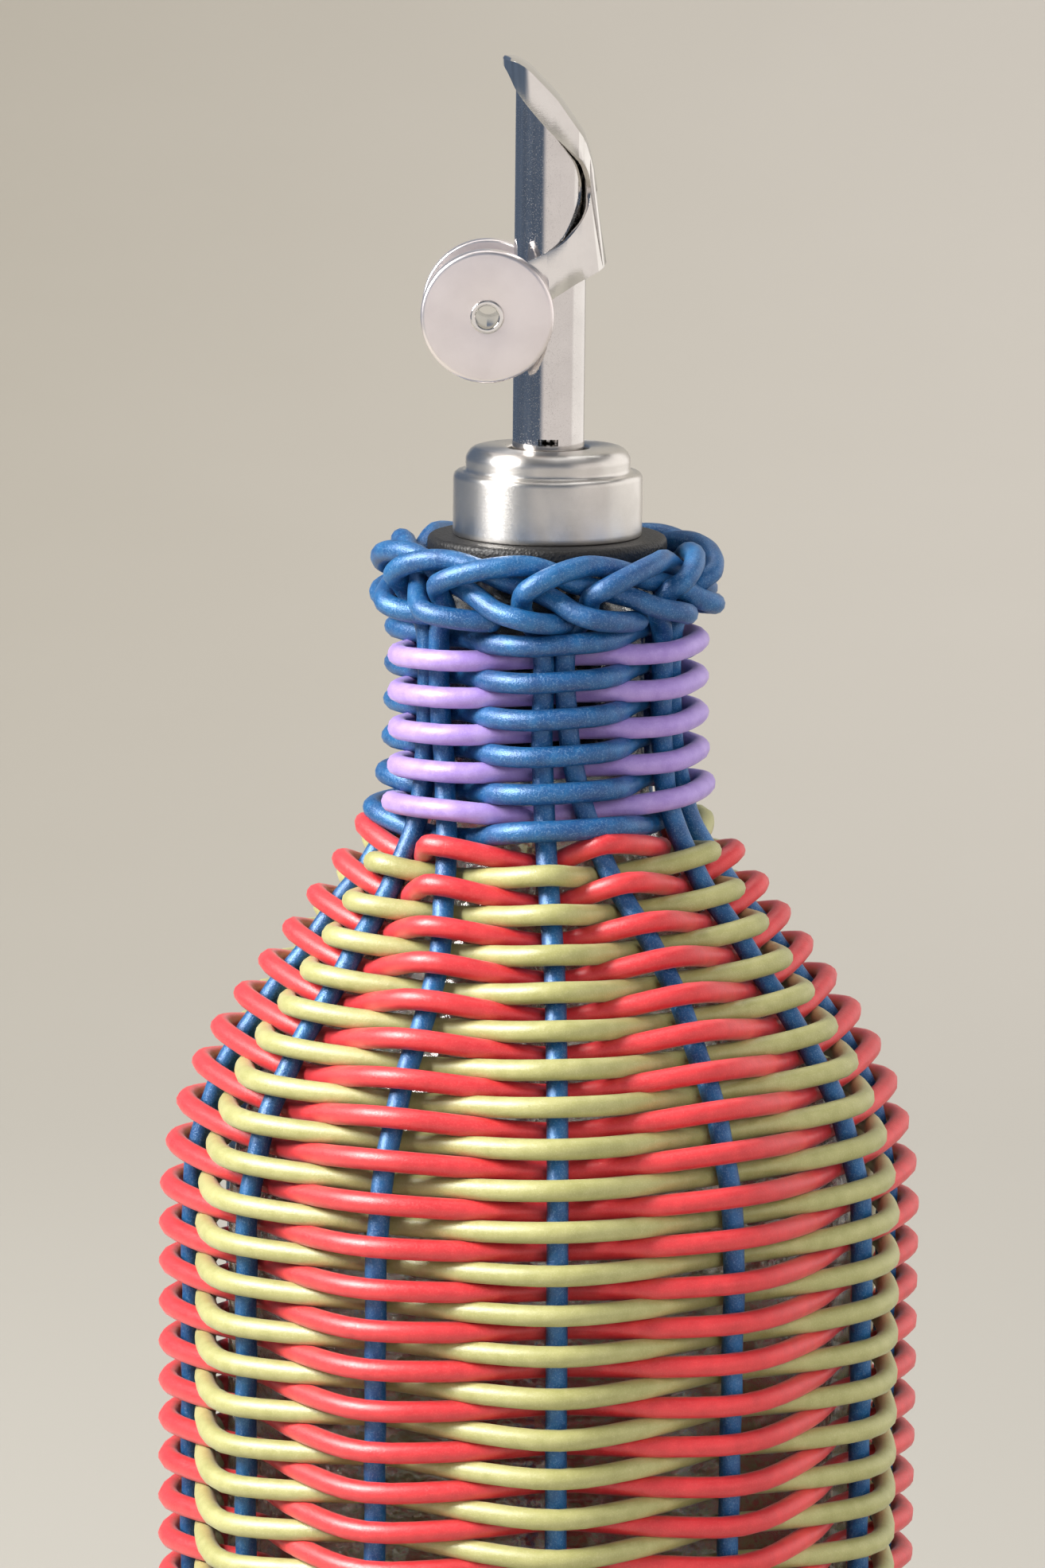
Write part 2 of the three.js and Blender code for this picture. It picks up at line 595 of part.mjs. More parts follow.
// The top of the lid
const top = new THREE.Shape();
top.moveTo(lipX, lidBend + 0.5);
top.lineTo(lipX, lidBend - 0.2);
top.lineTo(LID_FRONT - SHEET / 2, lidBend - SHEET * 1.07);
top.lineTo(LID_BACK - SHEET * 0.76, lidEnd - SHEET * 0.71);
top.lineTo(inside, lidEnd - LID_HEEL + SHEET * 0.86);
top.lineTo(outside + 0.1, lidEnd - LID_HEEL);
top.lineTo(LID_BACK, lidEnd);
top.lineTo(LID_FRONT, lidBend);
flap = flap.add(solid(sideCut(top, -outside, outside)).intersect(lidOuter));

// The back below the lid, which flares into the tail
const tailEnd = pivotZ + TAIL_LIFT;
const tailTop = tailEnd + TAIL_LENGTH;
const backTop = lidEnd - LID_HEEL - 1;
const backProfile = [
  [inside, backTop],
  [inside, tailTop],
  [inside + TAIL_FLARE * 0.3, mix(tailTop, tailEnd, 0.5)],
  [inside + TAIL_FLARE, tailEnd],
  [outside + TAIL_FLARE, tailEnd],
  [outside + TAIL_FLARE * 0.3, mix(tailTop, tailEnd, 0.5)],
  [outside, tailTop],
  [outside, backTop],
];
const flared = solid(turned(backProfile, 24));
const tailBox = boxOf(0.5, outside + TAIL_FLARE + 2, -TAIL_WIDTH / 2, TAIL_WIDTH / 2, tailEnd, backTop);
flap = flap.add(flared.intersect(solid(tailBox)).intersect(seen));

// The arms and the round sides of the back
const channel = new THREE.Shape();
channel.absarc(0, 0, outside, -Math.PI / 2, Math.PI / 2, false);
channel.lineTo(weightX - padRadius - 1, outside);
channel.lineTo(weightX - padRadius - 1, inside);
channel.lineTo(0, inside);
channel.absarc(0, 0, inside, Math.PI / 2, -Math.PI / 2, true);
channel.lineTo(weightX - padRadius - 1, -inside);
channel.lineTo(weightX - padRadius - 1, -outside);
const armsEnd = inside - SHEET * 0.64;
const low = boxOf(weightX - padRadius - 1, armsEnd, -outside - 1, outside + 1, capTop, lidEnd - LID_HEEL);
const arms = prism(channel).intersect(solid(low)).intersect(seen);
flap = flap.add(arms);
flap = flap.subtract(solid(crossRod(holeRadius, PIVOT_X, pivotZ, -outside - 1, outside + 1, 16)));
const eyeletHole = EYELET_RADIUS + RUNNING_GAP;
flap = flap.subtract(solid(crossRod(eyeletHole, weightX, weightZ, -outside - 1, outside + 1, 20)));
add("flap_lid", geometryOf(flap), POLISHED);

// Pin through the arms and the tube
add("hinge_pin", crossRod(PIN_RADIUS, PIVOT_X, pivotZ, -outside, outside, 16), POLISHED);

// Counterweight discs outside the arms, on a hollow eyelet with curled ends
const discIn = outside + 0.02;
const discOut = discIn + DISC_THICK;
function disc(sign) {
  const profile = [
    [eyeletHole, 0],
    [DISC_RADIUS - DISC_EDGE * 0.5, 0],
    [DISC_RADIUS, DISC_EDGE * 0.5],
    [DISC_RADIUS, DISC_THICK - DISC_EDGE],
    [DISC_RADIUS - DISC_EDGE * 0.3, DISC_THICK - DISC_EDGE * 0.3],
    [DISC_RADIUS - DISC_EDGE, DISC_THICK],
    [eyeletHole, DISC_THICK],
  ];
  const geometry = turned(profile, 30).rotateX(sign > 0 ? -Math.PI / 2 : Math.PI / 2);
  return geometry.translate(weightX, sign * discIn, weightZ);
}
add("weight_disc_front", disc(-1), SATIN);
add("weight_disc_rear", disc(1), SATIN);

const eyeletEnd = discOut + 0.05;
const eyeletBore = EYELET_RADIUS - EYELET_WALL;
const curl = eyeletHole + EYELET_CURL;
const eyelet = [
  [eyeletBore, -eyeletEnd - 0.3],
  [curl, -eyeletEnd - 0.3],
  [curl, -eyeletEnd],
  [EYELET_RADIUS, -eyeletEnd],
  [EYELET_RADIUS, eyeletEnd],
  [curl, eyeletEnd],
  [curl, eyeletEnd + 0.3],
  [eyeletBore, eyeletEnd + 0.3],
];
const eyeletTurned = turned(eyelet, 20).rotateX(Math.PI / 2);
add("weight_eyelet", eyeletTurned.translate(weightX, 0, weightZ), SATIN);

export default cruet;
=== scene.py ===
"""Looks of an oil cruet: a glass bottle in a woven cane cover, with a steel flap pourer in its stopper.

Sizes are in millimetres until a mesh is made, degrees run from the front towards +X, and the front is -Y.
"""

from __future__ import annotations

import logging
import math
import random
from dataclasses import dataclass, field
from enum import Enum
from typing import Any, Sequence

import bmesh
import bpy
from mathutils import Matrix, Vector

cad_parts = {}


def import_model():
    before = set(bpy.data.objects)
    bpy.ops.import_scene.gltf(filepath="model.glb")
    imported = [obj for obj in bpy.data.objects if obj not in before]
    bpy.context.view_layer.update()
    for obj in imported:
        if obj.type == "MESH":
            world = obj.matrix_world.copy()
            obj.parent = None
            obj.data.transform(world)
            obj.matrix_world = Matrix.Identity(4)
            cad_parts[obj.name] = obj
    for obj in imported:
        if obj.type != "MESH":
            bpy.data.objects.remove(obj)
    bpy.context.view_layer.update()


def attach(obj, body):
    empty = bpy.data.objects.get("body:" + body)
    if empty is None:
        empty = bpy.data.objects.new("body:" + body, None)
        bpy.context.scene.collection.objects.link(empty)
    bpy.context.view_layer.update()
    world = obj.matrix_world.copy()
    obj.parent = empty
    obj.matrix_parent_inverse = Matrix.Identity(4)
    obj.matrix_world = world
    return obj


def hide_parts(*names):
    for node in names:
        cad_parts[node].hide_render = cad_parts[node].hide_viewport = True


LOG = logging.getLogger("cruet")
MM = 0.001
IMAGE_HEIGHT = 1971
CREASE = 40.0

Colour = tuple[float, float, float]
Flat = tuple[float, float]


def tone(red: int, green: int, blue: int) -> Colour:
    """Turn a screen colour into the linear colour that a shader takes.

    Args:
        red: Red from 0 to 255.
        green: Green from 0 to 255.
        blue: Blue from 0 to 255.

    Returns:
        The linear red, green and blue.
    """

    def linear(value: int) -> float:
        """Undo the screen's curve for one channel."""
        part = value / 255
        return part / 12.92 if part <= 0.04045 else ((part + 0.055) / 1.055) ** 2.4

    return linear(red), linear(green), linear(blue)


def mix(start: float, end: float, share: float) -> float:
    """Give the value that lies share of the way from start to end."""
    return start + (end - start) * share


def ease(value: float, low: float, high: float) -> float:
    """Give a smooth step from 0 at low to 1 at high."""
    share = min(max((value - low) / (high - low), 0.0), 1.0)
    return share * share * (3 - 2 * share)


def place(radius: float, degrees: float, height: float) -> Vector:
    """Give the point at a radius, an angle from the front and a height."""
    angle = math.radians(degrees)
    return Vector((radius * math.sin(angle), -radius * math.cos(angle), height))


def curve_through(points: Sequence[Vector], steps: int) -> list[Vector]:
    """Draw a smooth line through points.

    Args:
        points: The points to pass.
        steps: Short straight steps between one point and the next.

    Returns:
        The points of the smooth line, ends included.
    """
    line: list[Vector] = []
    last = len(points) - 1
    for i in range(last):
        before, start = points[max(i - 1, 0)], points[i]
        end, after = points[i + 1], points[min(i + 2, last)]
        reach = (end - start).length
        pull = (end - before).normalized() * reach
        push = (after - start).normalized() * reach
        for j in range(steps):
            t = j / steps
            a = 2 * t**3 - 3 * t**2 + 1
            b = t**3 - 2 * t**2 + t
            c = -2 * t**3 + 3 * t**2
            d = t**3 - t**2
            line.append(start * a + pull * b + end * c + push * d)
    line.append(points[-1].copy())
    return line


class Body(Enum):
    """The bodies of the frame that pieces ride on."""

    BOTTLE = "bottle"
    POURER = "pourer"
    FLAP = "flap"


class Slot(Enum):
    """The finishes that the record names."""

    BLUE = "blue_cane"
    RED = "red_cane"
    OLIVE = "olive_cane"
    PURPLE = "purple_cane"
    GLASS = "glass"
    RUBBER = "rubber"
    SATIN = "satin_steel"
    POLISHED = "polished_steel"


class Wire:
    """A shader output that takes part in Python expressions."""

    def __init__(self, graph: "Graph", socket: bpy.types.NodeSocket) -> None:
        """Keep the graph and the socket."""
        self.graph = graph
        self.socket = socket

    def _maths(self, operation: str, first: Any, second: Any) -> "Wire":
        """Add a Math node of that operation on two values."""
        return self.graph.node("ShaderNodeMath", {"operation": operation}, {0: first, 1: second})

    def __add__(self, other: Any) -> "Wire":
        """Add a value."""
        return self._maths("ADD", self, other)

    def __radd__(self, other: Any) -> "Wire":
        """Add to a value."""
        return self._maths("ADD", other, self)

    def __sub__(self, other: Any) -> "Wire":
        """Take a value away."""
        return self._maths("SUBTRACT", self, other)

    def __rsub__(self, other: Any) -> "Wire":
        """Take this from a value."""
        return self._maths("SUBTRACT", other, self)

    def __mul__(self, other: Any) -> "Wire":
        """Multiply by a value."""
        return self._maths("MULTIPLY", self, other)

    def __rmul__(self, other: Any) -> "Wire":
        """Multiply a value by this."""
        return self._maths("MULTIPLY", other, self)

    def __pow__(self, other: Any) -> "Wire":
        """Raise to a power."""
        return self._maths("POWER", self, other)


class Graph:
    """The nodes of one material or of the world."""

    def __init__(self, tree: bpy.types.NodeTree) -> None:
        """Start from an empty tree."""
        tree.nodes.clear()
        self.tree = tree

    def node(
        self, kind: str, settings: dict[str, Any], sockets: dict[int | str, Any], output: int | str = 0
    ) -> Wire:
        """Add a node, set it up and wire its sockets.

        Args:
            kind: The node's type.
            settings: Its settings by name.
            sockets: Values or wires for its inputs, by number or name.
            output: The output that is wanted, by number or name.

        Returns:
            That output.
        """
        made = self.tree.nodes.new(kind)
        for key, value in settings.items():
            setattr(made, key, value)
        for key, value in sockets.items():
            socket = made.inputs[key]
            if isinstance(value, Wire):
                self.tree.links.new(value.socket, socket)
            elif socket.type == "RGBA" and len(value) == 3:
                socket.default_value = (*value, 1.0)
            else:
                socket.default_value = value
        return Wire(self, made.outputs[output])

    def millimetres(self) -> Wire:
        """Give the place on the piece in millimetres."""
        spot = self.node("ShaderNodeTexCoord", {}, {}, "Object")
        return self.node("ShaderNodeVectorMath", {"operation": "SCALE"}, {0: spot, "Scale": 1 / MM})

    def part(self, vector: Wire, axis: str) -> Wire:
        """Give a vector's part along X, Y or Z."""
        return self.node("ShaderNodeSeparateXYZ", {}, {0: vector}, axis)

    def turn(self, up: Any, along: Any) -> Wire:
        """Give the angle of a direction from its two parts, in radians."""
        return self.node("ShaderNodeMath", {"operation": "ARCTAN2"}, {0: up, 1: along})

    def noise(self, vector: Wire, scale: float, detail: float = 2.0, rough: float = 0.5) -> Wire:
        """Give soft noise from 0 to 1 with that many waves in a millimetre."""
        values = {"Vector": vector, "Scale": scale, "Detail": detail, "Roughness": rough}
        return self.node("ShaderNodeTexNoise", {}, values, "Fac")

    def step(self, value: Wire, low: float, high: float) -> Wire:
        """Give a smooth step from 0 at low to 1 at high."""
        sockets = {"Value": value, "From Min": low, "From Max": high}
        return self.node("ShaderNodeMapRange", {"interpolation_type": "SMOOTHSTEP"}, sockets)

    def blend(self, factor: Any, first: Any, second: Any) -> Wire:
        """Blend two colours."""
        settings = {"data_type": "RGBA", "clamp_factor": True}
        return self.node("ShaderNodeMix", settings, {0: factor, 6: first, 7: second}, 2)

    def bump(self, height: Wire, strength: float, depth: float) -> Wire:
        """Give the normal of a surface whose height varies by depth in millimetres."""
        sockets = {"Strength": strength, "Distance": depth * MM, "Height": height}
        return self.node("ShaderNodeBump", {}, sockets)

    def shader(self, sockets: dict[int | str, Any]) -> Wire:
        """Add the main shader."""
        return self.node("ShaderNodeBsdfPrincipled", {}, sockets)

    def surface(self, sockets: dict[int | str, Any]) -> None:
        """Add the main shader and wire it to the output."""
        self.node_out(self.shader(sockets))

    def node_out(self, shader: Wire) -> None:
        """Wire a shader to the material's output."""
        made = self.tree.nodes.new("ShaderNodeOutputMaterial")
        self.tree.links.new(shader.socket, made.inputs["Surface"])


def new_graph(name: str) -> tuple[bpy.types.Material, Graph]:
    """Make an empty material.

    Args:
        name: The material's name.

    Returns:
        The material and its graph.
    """
    material = bpy.data.materials.new(name)
    material.use_nodes = True
    return material, Graph(material.node_tree)


@dataclass(frozen=True)
class CaneFinish:
    """Round synthetic cane with a fine pebbled skin and paler specks."""

    name: str
    colour: Colour
    deep: Colour
    pale: Colour
    speck: float = 0.14
    pearl: float = 0.0
    rough: float = 0.46
    pebbles: float = 0.36
    sheen: float = 0.1

    def material(self) -> bpy.types.Material:
        """Make the material.

        Returns:
            The material.
        """
        material, graph = new_graph(self.name)
        spot = graph.millimetres()
        pebble = graph.noise(spot, scale=4.0, detail=2.0, rough=0.6)
        fine = graph.noise(spot, scale=9.0, detail=1.0)
        patch = graph.noise(spot, scale=0.09)
        streak = graph.noise(spot, scale=0.6)
        grain = pebble * 0.55 + fine * 0.45
        ground = graph.blend(graph.step(patch * 0.5 + streak * 0.5, 0.3, 0.7), self.deep, self.colour)
        specks = graph.step(grain, 0.5, 0.64) * self.speck
        pits = graph.step(fine, 0.56, 0.38) * (self.speck * 0.9)
        skin = graph.blend(specks, graph.blend(pits, ground, self.deep), self.pale)
        graph.surface(
            {
                "Base Color": skin,
                "Roughness": self.rough + (pebble - 0.5) * 0.35,
                "Metallic": self.pearl,
                "Specular IOR Level": 1.0,
                "Sheen Weight": self.sheen,
                "Sheen Roughness": 0.45,
                "Normal": graph.bump(grain, self.pebbles, depth=0.12),
            }
        )
        return material


@dataclass(frozen=True)
class GlassFinish:
    """Clear bottle glass with a slight ripple."""

    name: str
    colour: Colour

    def material(self) -> bpy.types.Material:
        """Make the material.

        Returns:
            The material.
        """
        material, graph = new_graph(self.name)
        spot = graph.millimetres()
        ripple = graph.noise(spot, scale=0.16) * 0.7 + graph.noise(spot, scale=0.9, detail=1.0) * 0.3
        film = graph.noise(spot, scale=0.4, detail=3.0)
        graph.surface(
            {
                "Base Color": self.colour,
                "Roughness": 0.09 + graph.step(film, 0.55, 0.8) * 0.08,
                "Transmission Weight": 1.0,
                "IOR": 1.46,
                "Alpha": 0.7,
                "Normal": graph.bump(ripple, strength=0.35, depth=0.5),
            }
        )
        return material


@dataclass(frozen=True)
class RubberFinish:
    """Matt black rubber with a leathery skin."""

    name: str
    colour: Colour
    worn: Colour

    def material(self) -> bpy.types.Material:
        """Make the material.

        Returns:
            The material.
        """
        material, graph = new_graph(self.name)
        spot = graph.millimetres()
        cells = {"Vector": spot, "Scale": 2.6, "Randomness": 1.0}
        grain = graph.node("ShaderNodeTexVoronoi", {}, cells, "Distance")
        fine = graph.noise(spot, scale=5.0)
        dust = graph.step(graph.noise(spot, scale=0.35, detail=3.0), 0.52, 0.75)
        graph.surface(
            {
                "Base Color": graph.blend(dust * 0.5 + fine * 0.2, self.colour, self.worn),
                "Roughness": 0.38 + fine * 0.25,
                "Normal": graph.bump(grain * 0.6 + fine * 0.4, strength=0.7, depth=0.15),
            }
        )
        return material


class Brush(Enum):
    """How a steel surface was worked: turned about the upright axis, or tumbled."""

    TURNED = "turned"
    TUMBLED = "tumbled"


@dataclass(frozen=True)
class SteelFinish:
    """Steel with fine working marks, smears, and a grain of duller specks that glint under a lamp."""

    name: str
    colour: Colour
    shade: Colour
    rough: float
    brush: Brush
    marks: float
    grain: float = 0.03
    cover: float = 0.5
    stretch: float = 0.0

    def material(self) -> bpy.types.Material:
        """Make the material.

        Returns:
            The material.
        """
        material, graph = new_graph(self.name)
        spot = graph.millimetres()
        lines = self._lines(graph, spot)
        speck = graph.noise(spot, scale=8.0, detail=2.0, rough=0.6)
        smear = graph.noise(spot, scale=0.22, detail=3.0)
        start = mix(0.6, 0.4, self.cover)
        specks = graph.step(speck, start, start + 0.16)
        worn = graph.step(smear, 0.35, 0.75) * 0.5 + specks * 0.08
        rough = self.rough * (0.75 + lines * 0.3 + smear * 0.35) + specks * self.grain
        graph.surface(
            {
                "Base Color": graph.blend(worn, self.colour, self.shade),
                "Metallic": 1.0,
                "Roughness": rough,
                "Anisotropic": self.stretch,
                "Anisotropic Rotation": 0.25,
                "Normal": graph.bump(lines * 0.6 + speck * 0.4, 0.3 * self.marks, depth=0.03),
            }
        )
        return material

    def _lines(self, graph: Graph, spot: Wire) -> Wire:
        """Give the fine lines that the working left.

        Args:
            graph: The material's graph.
            spot: The place on the piece in millimetres.

        Returns:
            Noise from 0 to 1 along the lines.
        """
        if self.brush is Brush.TUMBLED:
            return graph.noise(spot, scale=2.2, detail=3.0, rough=0.65)
        x, y, z = (graph.part(spot, axis) for axis in "XYZ")
        radius = (x * x + y * y) ** 0.5
        close, along = 6.0, 0.9
        sockets = {0: radius * close, 1: graph.turn(y, x) * along, 2: z * close}
        around = graph.node("ShaderNodeCombineXYZ", {}, sockets)
        return graph.noise(around, scale=1.0, detail=2.0, rough=0.6)


@dataclass(frozen=True)
class PaperFinish:
    """Matt backdrop paper with painted shade: darker to the left, towards the front and under the key lamp,
    and clear from behind and far out.
    """

    name: str
    near: Colour
    light: Colour
    dark: Colour
    # The colour of the painted shade under the key lamp, at the left of the near paper
    painted_key_shade: Colour
    fade_start: float = 750.0
    fade_end: float = 1300.0

    def material(self) -> bpy.types.Material:
        """Make the material.

        Returns:
            The material.
        """
        material, graph = new_graph(self.name)
        spot = graph.millimetres()
        across, back = graph.part(spot, "X"), graph.part(spot, "Y")
        fibre = graph.noise(spot, scale=0.02, detail=3.0)
        # Painted shade: the far paper goes from the dark tone at the left to the light tone at the right, and
        # the near paper darkens to the painted shade colour under the key lamp at the left
        far = graph.blend(graph.step(across, -260.0, 220.0) * 0.9 + fibre * 0.1, self.dark, self.light)
        near = graph.blend(graph.step(across, -250.0, -900.0), self.near, self.painted_key_shade)
        colour = graph.blend(graph.step(back, 150.0, 1250.0), near, far)
        paper = graph.shader({"Base Color": colour, "Roughness": 0.9, "Specular IOR Level": 0.1})
        behind = graph.node("ShaderNodeNewGeometry", {}, {}, "Backfacing")
        start, end = self.fade_start, self.fade_end
        sides = graph.step(across, -end, -start) * graph.step(across, end, start)
        kept = sides * graph.step(back, -end, -start)
        clear = graph.node("ShaderNodeBsdfTransparent", {}, {})
        sockets = {0: 1 - kept * (1 - behind), 1: paper, 2: clear}
        graph.node_out(graph.node("ShaderNodeMixShader", {}, sockets))
        return material


def show(
    name: str, mesh: bpy.types.Mesh, material: bpy.types.Material, crease: float = CREASE
) -> bpy.types.Object:
    """Put a mesh in the scene with smooth shading and a material.

    Args:
        name: The object's name.
        mesh: The mesh.
        material: The material.
        crease: Edges sharper than this many degrees stay crisp.

    Returns:
        The object.
    """
    mesh.materials.clear()
    mesh.materials.append(material)
    mesh.shade_smooth()
    mesh.set_sharp_from_angle(angle=math.radians(crease))
    made = bpy.data.objects.new(name, mesh)
    bpy.context.scene.collection.objects.link(made)
    return made


def dress(piece: bpy.types.Object, body: Body, node: str) -> None:
    """Say which body a piece rides on, and hide the node of the frame that it stands for.

    Args:
        piece: The piece.
        body: Its body.
        node: The node of the frame that it replaces.
    """
    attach(piece, body.value)
    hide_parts(node)
    faces = sum(len(p.vertices) - 2 for p in piece.data.polygons)
    LOG.info("%s rides on %s for %s, %d triangles", piece.name, body.value, node, faces)


def to_mesh(name: str, bm: bmesh.types.BMesh) -> bpy.types.Mesh:
    """Scale a mesh from millimetres and store it.

    Args:
        name: The mesh's name.
        bm: The mesh in millimetres, which is freed.

    Returns:
        The stored mesh.
    """
    bmesh.ops.scale(bm, vec=(MM, MM, MM), verts=bm.verts)
    mesh = bpy.data.meshes.new(name)
    bm.to_mesh(mesh)
    bm.free()
    return mesh


def add_piece(
    name: str,
    bm: bmesh.types.BMesh,
    body: Body,
    node: str,
    material: bpy.types.Material,
    crease: float = CREASE,
) -> None:
    """Store, show and dress one piece.

    Args:
        name: The piece's name.
        bm: Its mesh in millimetres, which is freed.
        body: The body it rides on.
        node: The node of the frame that it replaces.
        material: Its material.
        crease: Edges sharper than this many degrees stay crisp.
    """
    dress(show(name, to_mesh(name, bm), material, crease), body, node)


def everything(bm: bmesh.types.BMesh) -> list[Any]:
    """List the corners, edges and faces of a mesh."""
    return bm.verts[:] + bm.edges[:] + bm.faces[:]


def cylinder(radius: float, length: float, steps: int, matrix: Matrix, capped: bool) -> bmesh.types.BMesh:
    """Make a cylinder.

    Args:
        radius: Its radius.
        length: Its length.
        steps: Steps round it.
        matrix: Where its middle is and how it is turned.
        capped: Whether its ends are closed.

    Returns:
        The mesh in millimetres.
    """
    bm = bmesh.new()
    bmesh.ops.create_cone(
        bm, cap_ends=capped, segments=steps, radius1=radius, radius2=radius, depth=length, matrix=matrix
    )
    return bm


def ease_edges(bm: bmesh.types.BMesh, edges: Sequence[bmesh.types.BMEdge], width: float, steps: int) -> None:
    """Round edges off.

    Args:
        bm: The mesh.
        edges: The edges to round.
        width: How far back from the edge the rounding starts.
        steps: Steps across it.
    """
    shape = {"offset_type": "OFFSET", "profile": 0.5, "affect": "EDGES", "material": -1}
    bmesh.ops.bevel(bm, geom=edges, offset=width, segments=steps, **shape)


def rounded(corners: Sequence[tuple[float, float, float]], closed: bool = True, steps: int = 4) -> list[Flat]:
    """Round the corners of an outline.

    Args:
        corners: Two coordinates and a radius for each corner.
        closed: Whether the outline runs back to its start.
        steps: Straight steps in each rounded corner.

    Returns:
        The points of the rounded outline.
    """
    points: list[Flat] = []
    count = len(corners)
    for i, (a, b, radius) in enumerate(corners):
        here = Vector((a, b))
        if radius <= 0 or (not closed and i in (0, count - 1)):
            points.append((a, b))
            continue
        back = Vector(corners[i - 1][:2]) - here
        ahead = Vector(corners[(i + 1) % count][:2]) - here
        reach = min(radius, back.length * 0.49, ahead.length * 0.49)
        start = here + back.normalized() * reach
        end = here + ahead.normalized() * reach
        for j in range(steps + 1):
            t = j / steps
            spot = start * (1 - t) ** 2 + here * (2 * t * (1 - t)) + end * t**2
            points.append((spot.x, spot.y))
    return points


def turned(outline: Sequence[Flat], steps: int = 96, closed: bool = True) -> bmesh.types.BMesh:
    """Turn an outline of radius and height about the upright axis.

    Args:
        outline: The points of the outline.
        steps: Steps round the axis.
        closed: Whether the outline runs back to its start.

    Returns:
        The mesh in millimetres.
    """
    bm = bmesh.new()
    verts = [bm.verts.new((radius, 0, height)) for radius, height in outline]
    edges = [bm.edges.new(pair) for pair in zip(verts, verts[1:])]
    if closed:
        edges.append(bm.edges.new((verts[-1], verts[0])))
    bmesh.ops.spin(
        bm,
        geom=verts + edges,
        cent=(0, 0, 0),
        axis=(0, 0, 1),
        dvec=(0, 0, 0),
        angle=math.tau,
        steps=steps,
        use_merge=True,
        use_duplicate=False,
    )
    bmesh.ops.remove_doubles(bm, verts=bm.verts, dist=1e-4)
    bmesh.ops.recalc_face_normals(bm, faces=bm.faces)
    return bm


@dataclass
class Outline:
    """The line that the stakes follow from the middle of the base to the rim, as lengths along it."""

    body_radius: float = 41.2
    heel_bend: float = 11.0
    wall_top: float = 118.0
    shoulder_bend: float = 40.0
    shoulder_lean: float = 36.3
    neck_bend: float = 29.0
    neck_radius: float = 15.8
    neck_length: float = 13.2
    base_height: float = 3.45

    def __post_init__(self) -> None:
        """Work out where each stretch starts."""
        self.lean = math.radians(self.shoulder_lean)
        dip = 1 - math.cos(self.lean)
        self.slope_foot = (
            self.body_radius - self.shoulder_bend * dip,
            self.wall_top + self.shoulder_bend * math.sin(self.lean),
        )
        top_radius = self.neck_radius + self.neck_bend * dip
        run = (self.slope_foot[0] - top_radius) / math.sin(self.lean)
        self.slope_head = self.slope_foot[1] + run * math.cos(self.lean)
        self.neck_foot = self.slope_head + self.neck_bend * math.sin(self.lean)
        self.neck_top = self.neck_foot + self.neck_length
        self.heel_at = self.body_radius - self.heel_bend
        self.wall_at = self.heel_at + self.heel_bend * math.pi / 2
        self.shoulder_at = self.wall_at + self.wall_top - self.base_height - self.heel_bend
        self.slope_at = self.shoulder_at + self.shoulder_bend * self.lean
        self.neck_bend_at = self.slope_at + run
        self.neck_at = self.neck_bend_at + self.neck_bend * self.lean
        self.length = self.neck_at + self.neck_length

    def section(self, length: float) -> tuple[float, float, float, float]:
        """Find a point of the line and the direction that faces out of it.

        Args:
            length: The length along the line.

        Returns:
            Radius, height, and the outward direction's two parts.
        """
        if length < self.heel_at:
            return length, self.base_height, 0.0, -1.0
        if length < self.wall_at:
            a = (length - self.heel_at) / self.heel_bend
            rise = self.base_height + self.heel_bend * (1 - math.cos(a))
            return self.heel_at + self.heel_bend * math.sin(a), rise, math.sin(a), -math.cos(a)
        if length < self.shoulder_at:
            return self.body_radius, self.base_height + self.heel_bend + length - self.wall_at, 1.0, 0.0
        if length < self.slope_at:
            a = (length - self.shoulder_at) / self.shoulder_bend
            radius = self.body_radius - self.shoulder_bend * (1 - math.cos(a))
            return radius, self.wall_top + self.shoulder_bend * math.sin(a), math.cos(a), math.sin(a)
        if length < self.neck_bend_at:
            run = length - self.slope_at
            radius = self.slope_foot[0] - run * math.sin(self.lean)
            height = self.slope_foot[1] + run * math.cos(self.lean)
            return radius, height, math.cos(self.lean), math.sin(self.lean)
        if length < self.neck_at:
            a = self.lean - (length - self.neck_bend_at) / self.neck_bend
            radius = self.neck_radius + self.neck_bend * (1 - math.cos(a))
            return radius, self.neck_foot - self.neck_bend * math.sin(a), math.cos(a), math.sin(a)
        return self.neck_radius, self.neck_foot + length - self.neck_at, 1.0, 0.0

    def point(self, length: float, degrees: float, out: float) -> Vector:
        """Give the point at a length and an angle that stands out from the line."""
        radius, height, across, up = self.section(length)
        return place(radius + across * out, degrees, height + up * out)


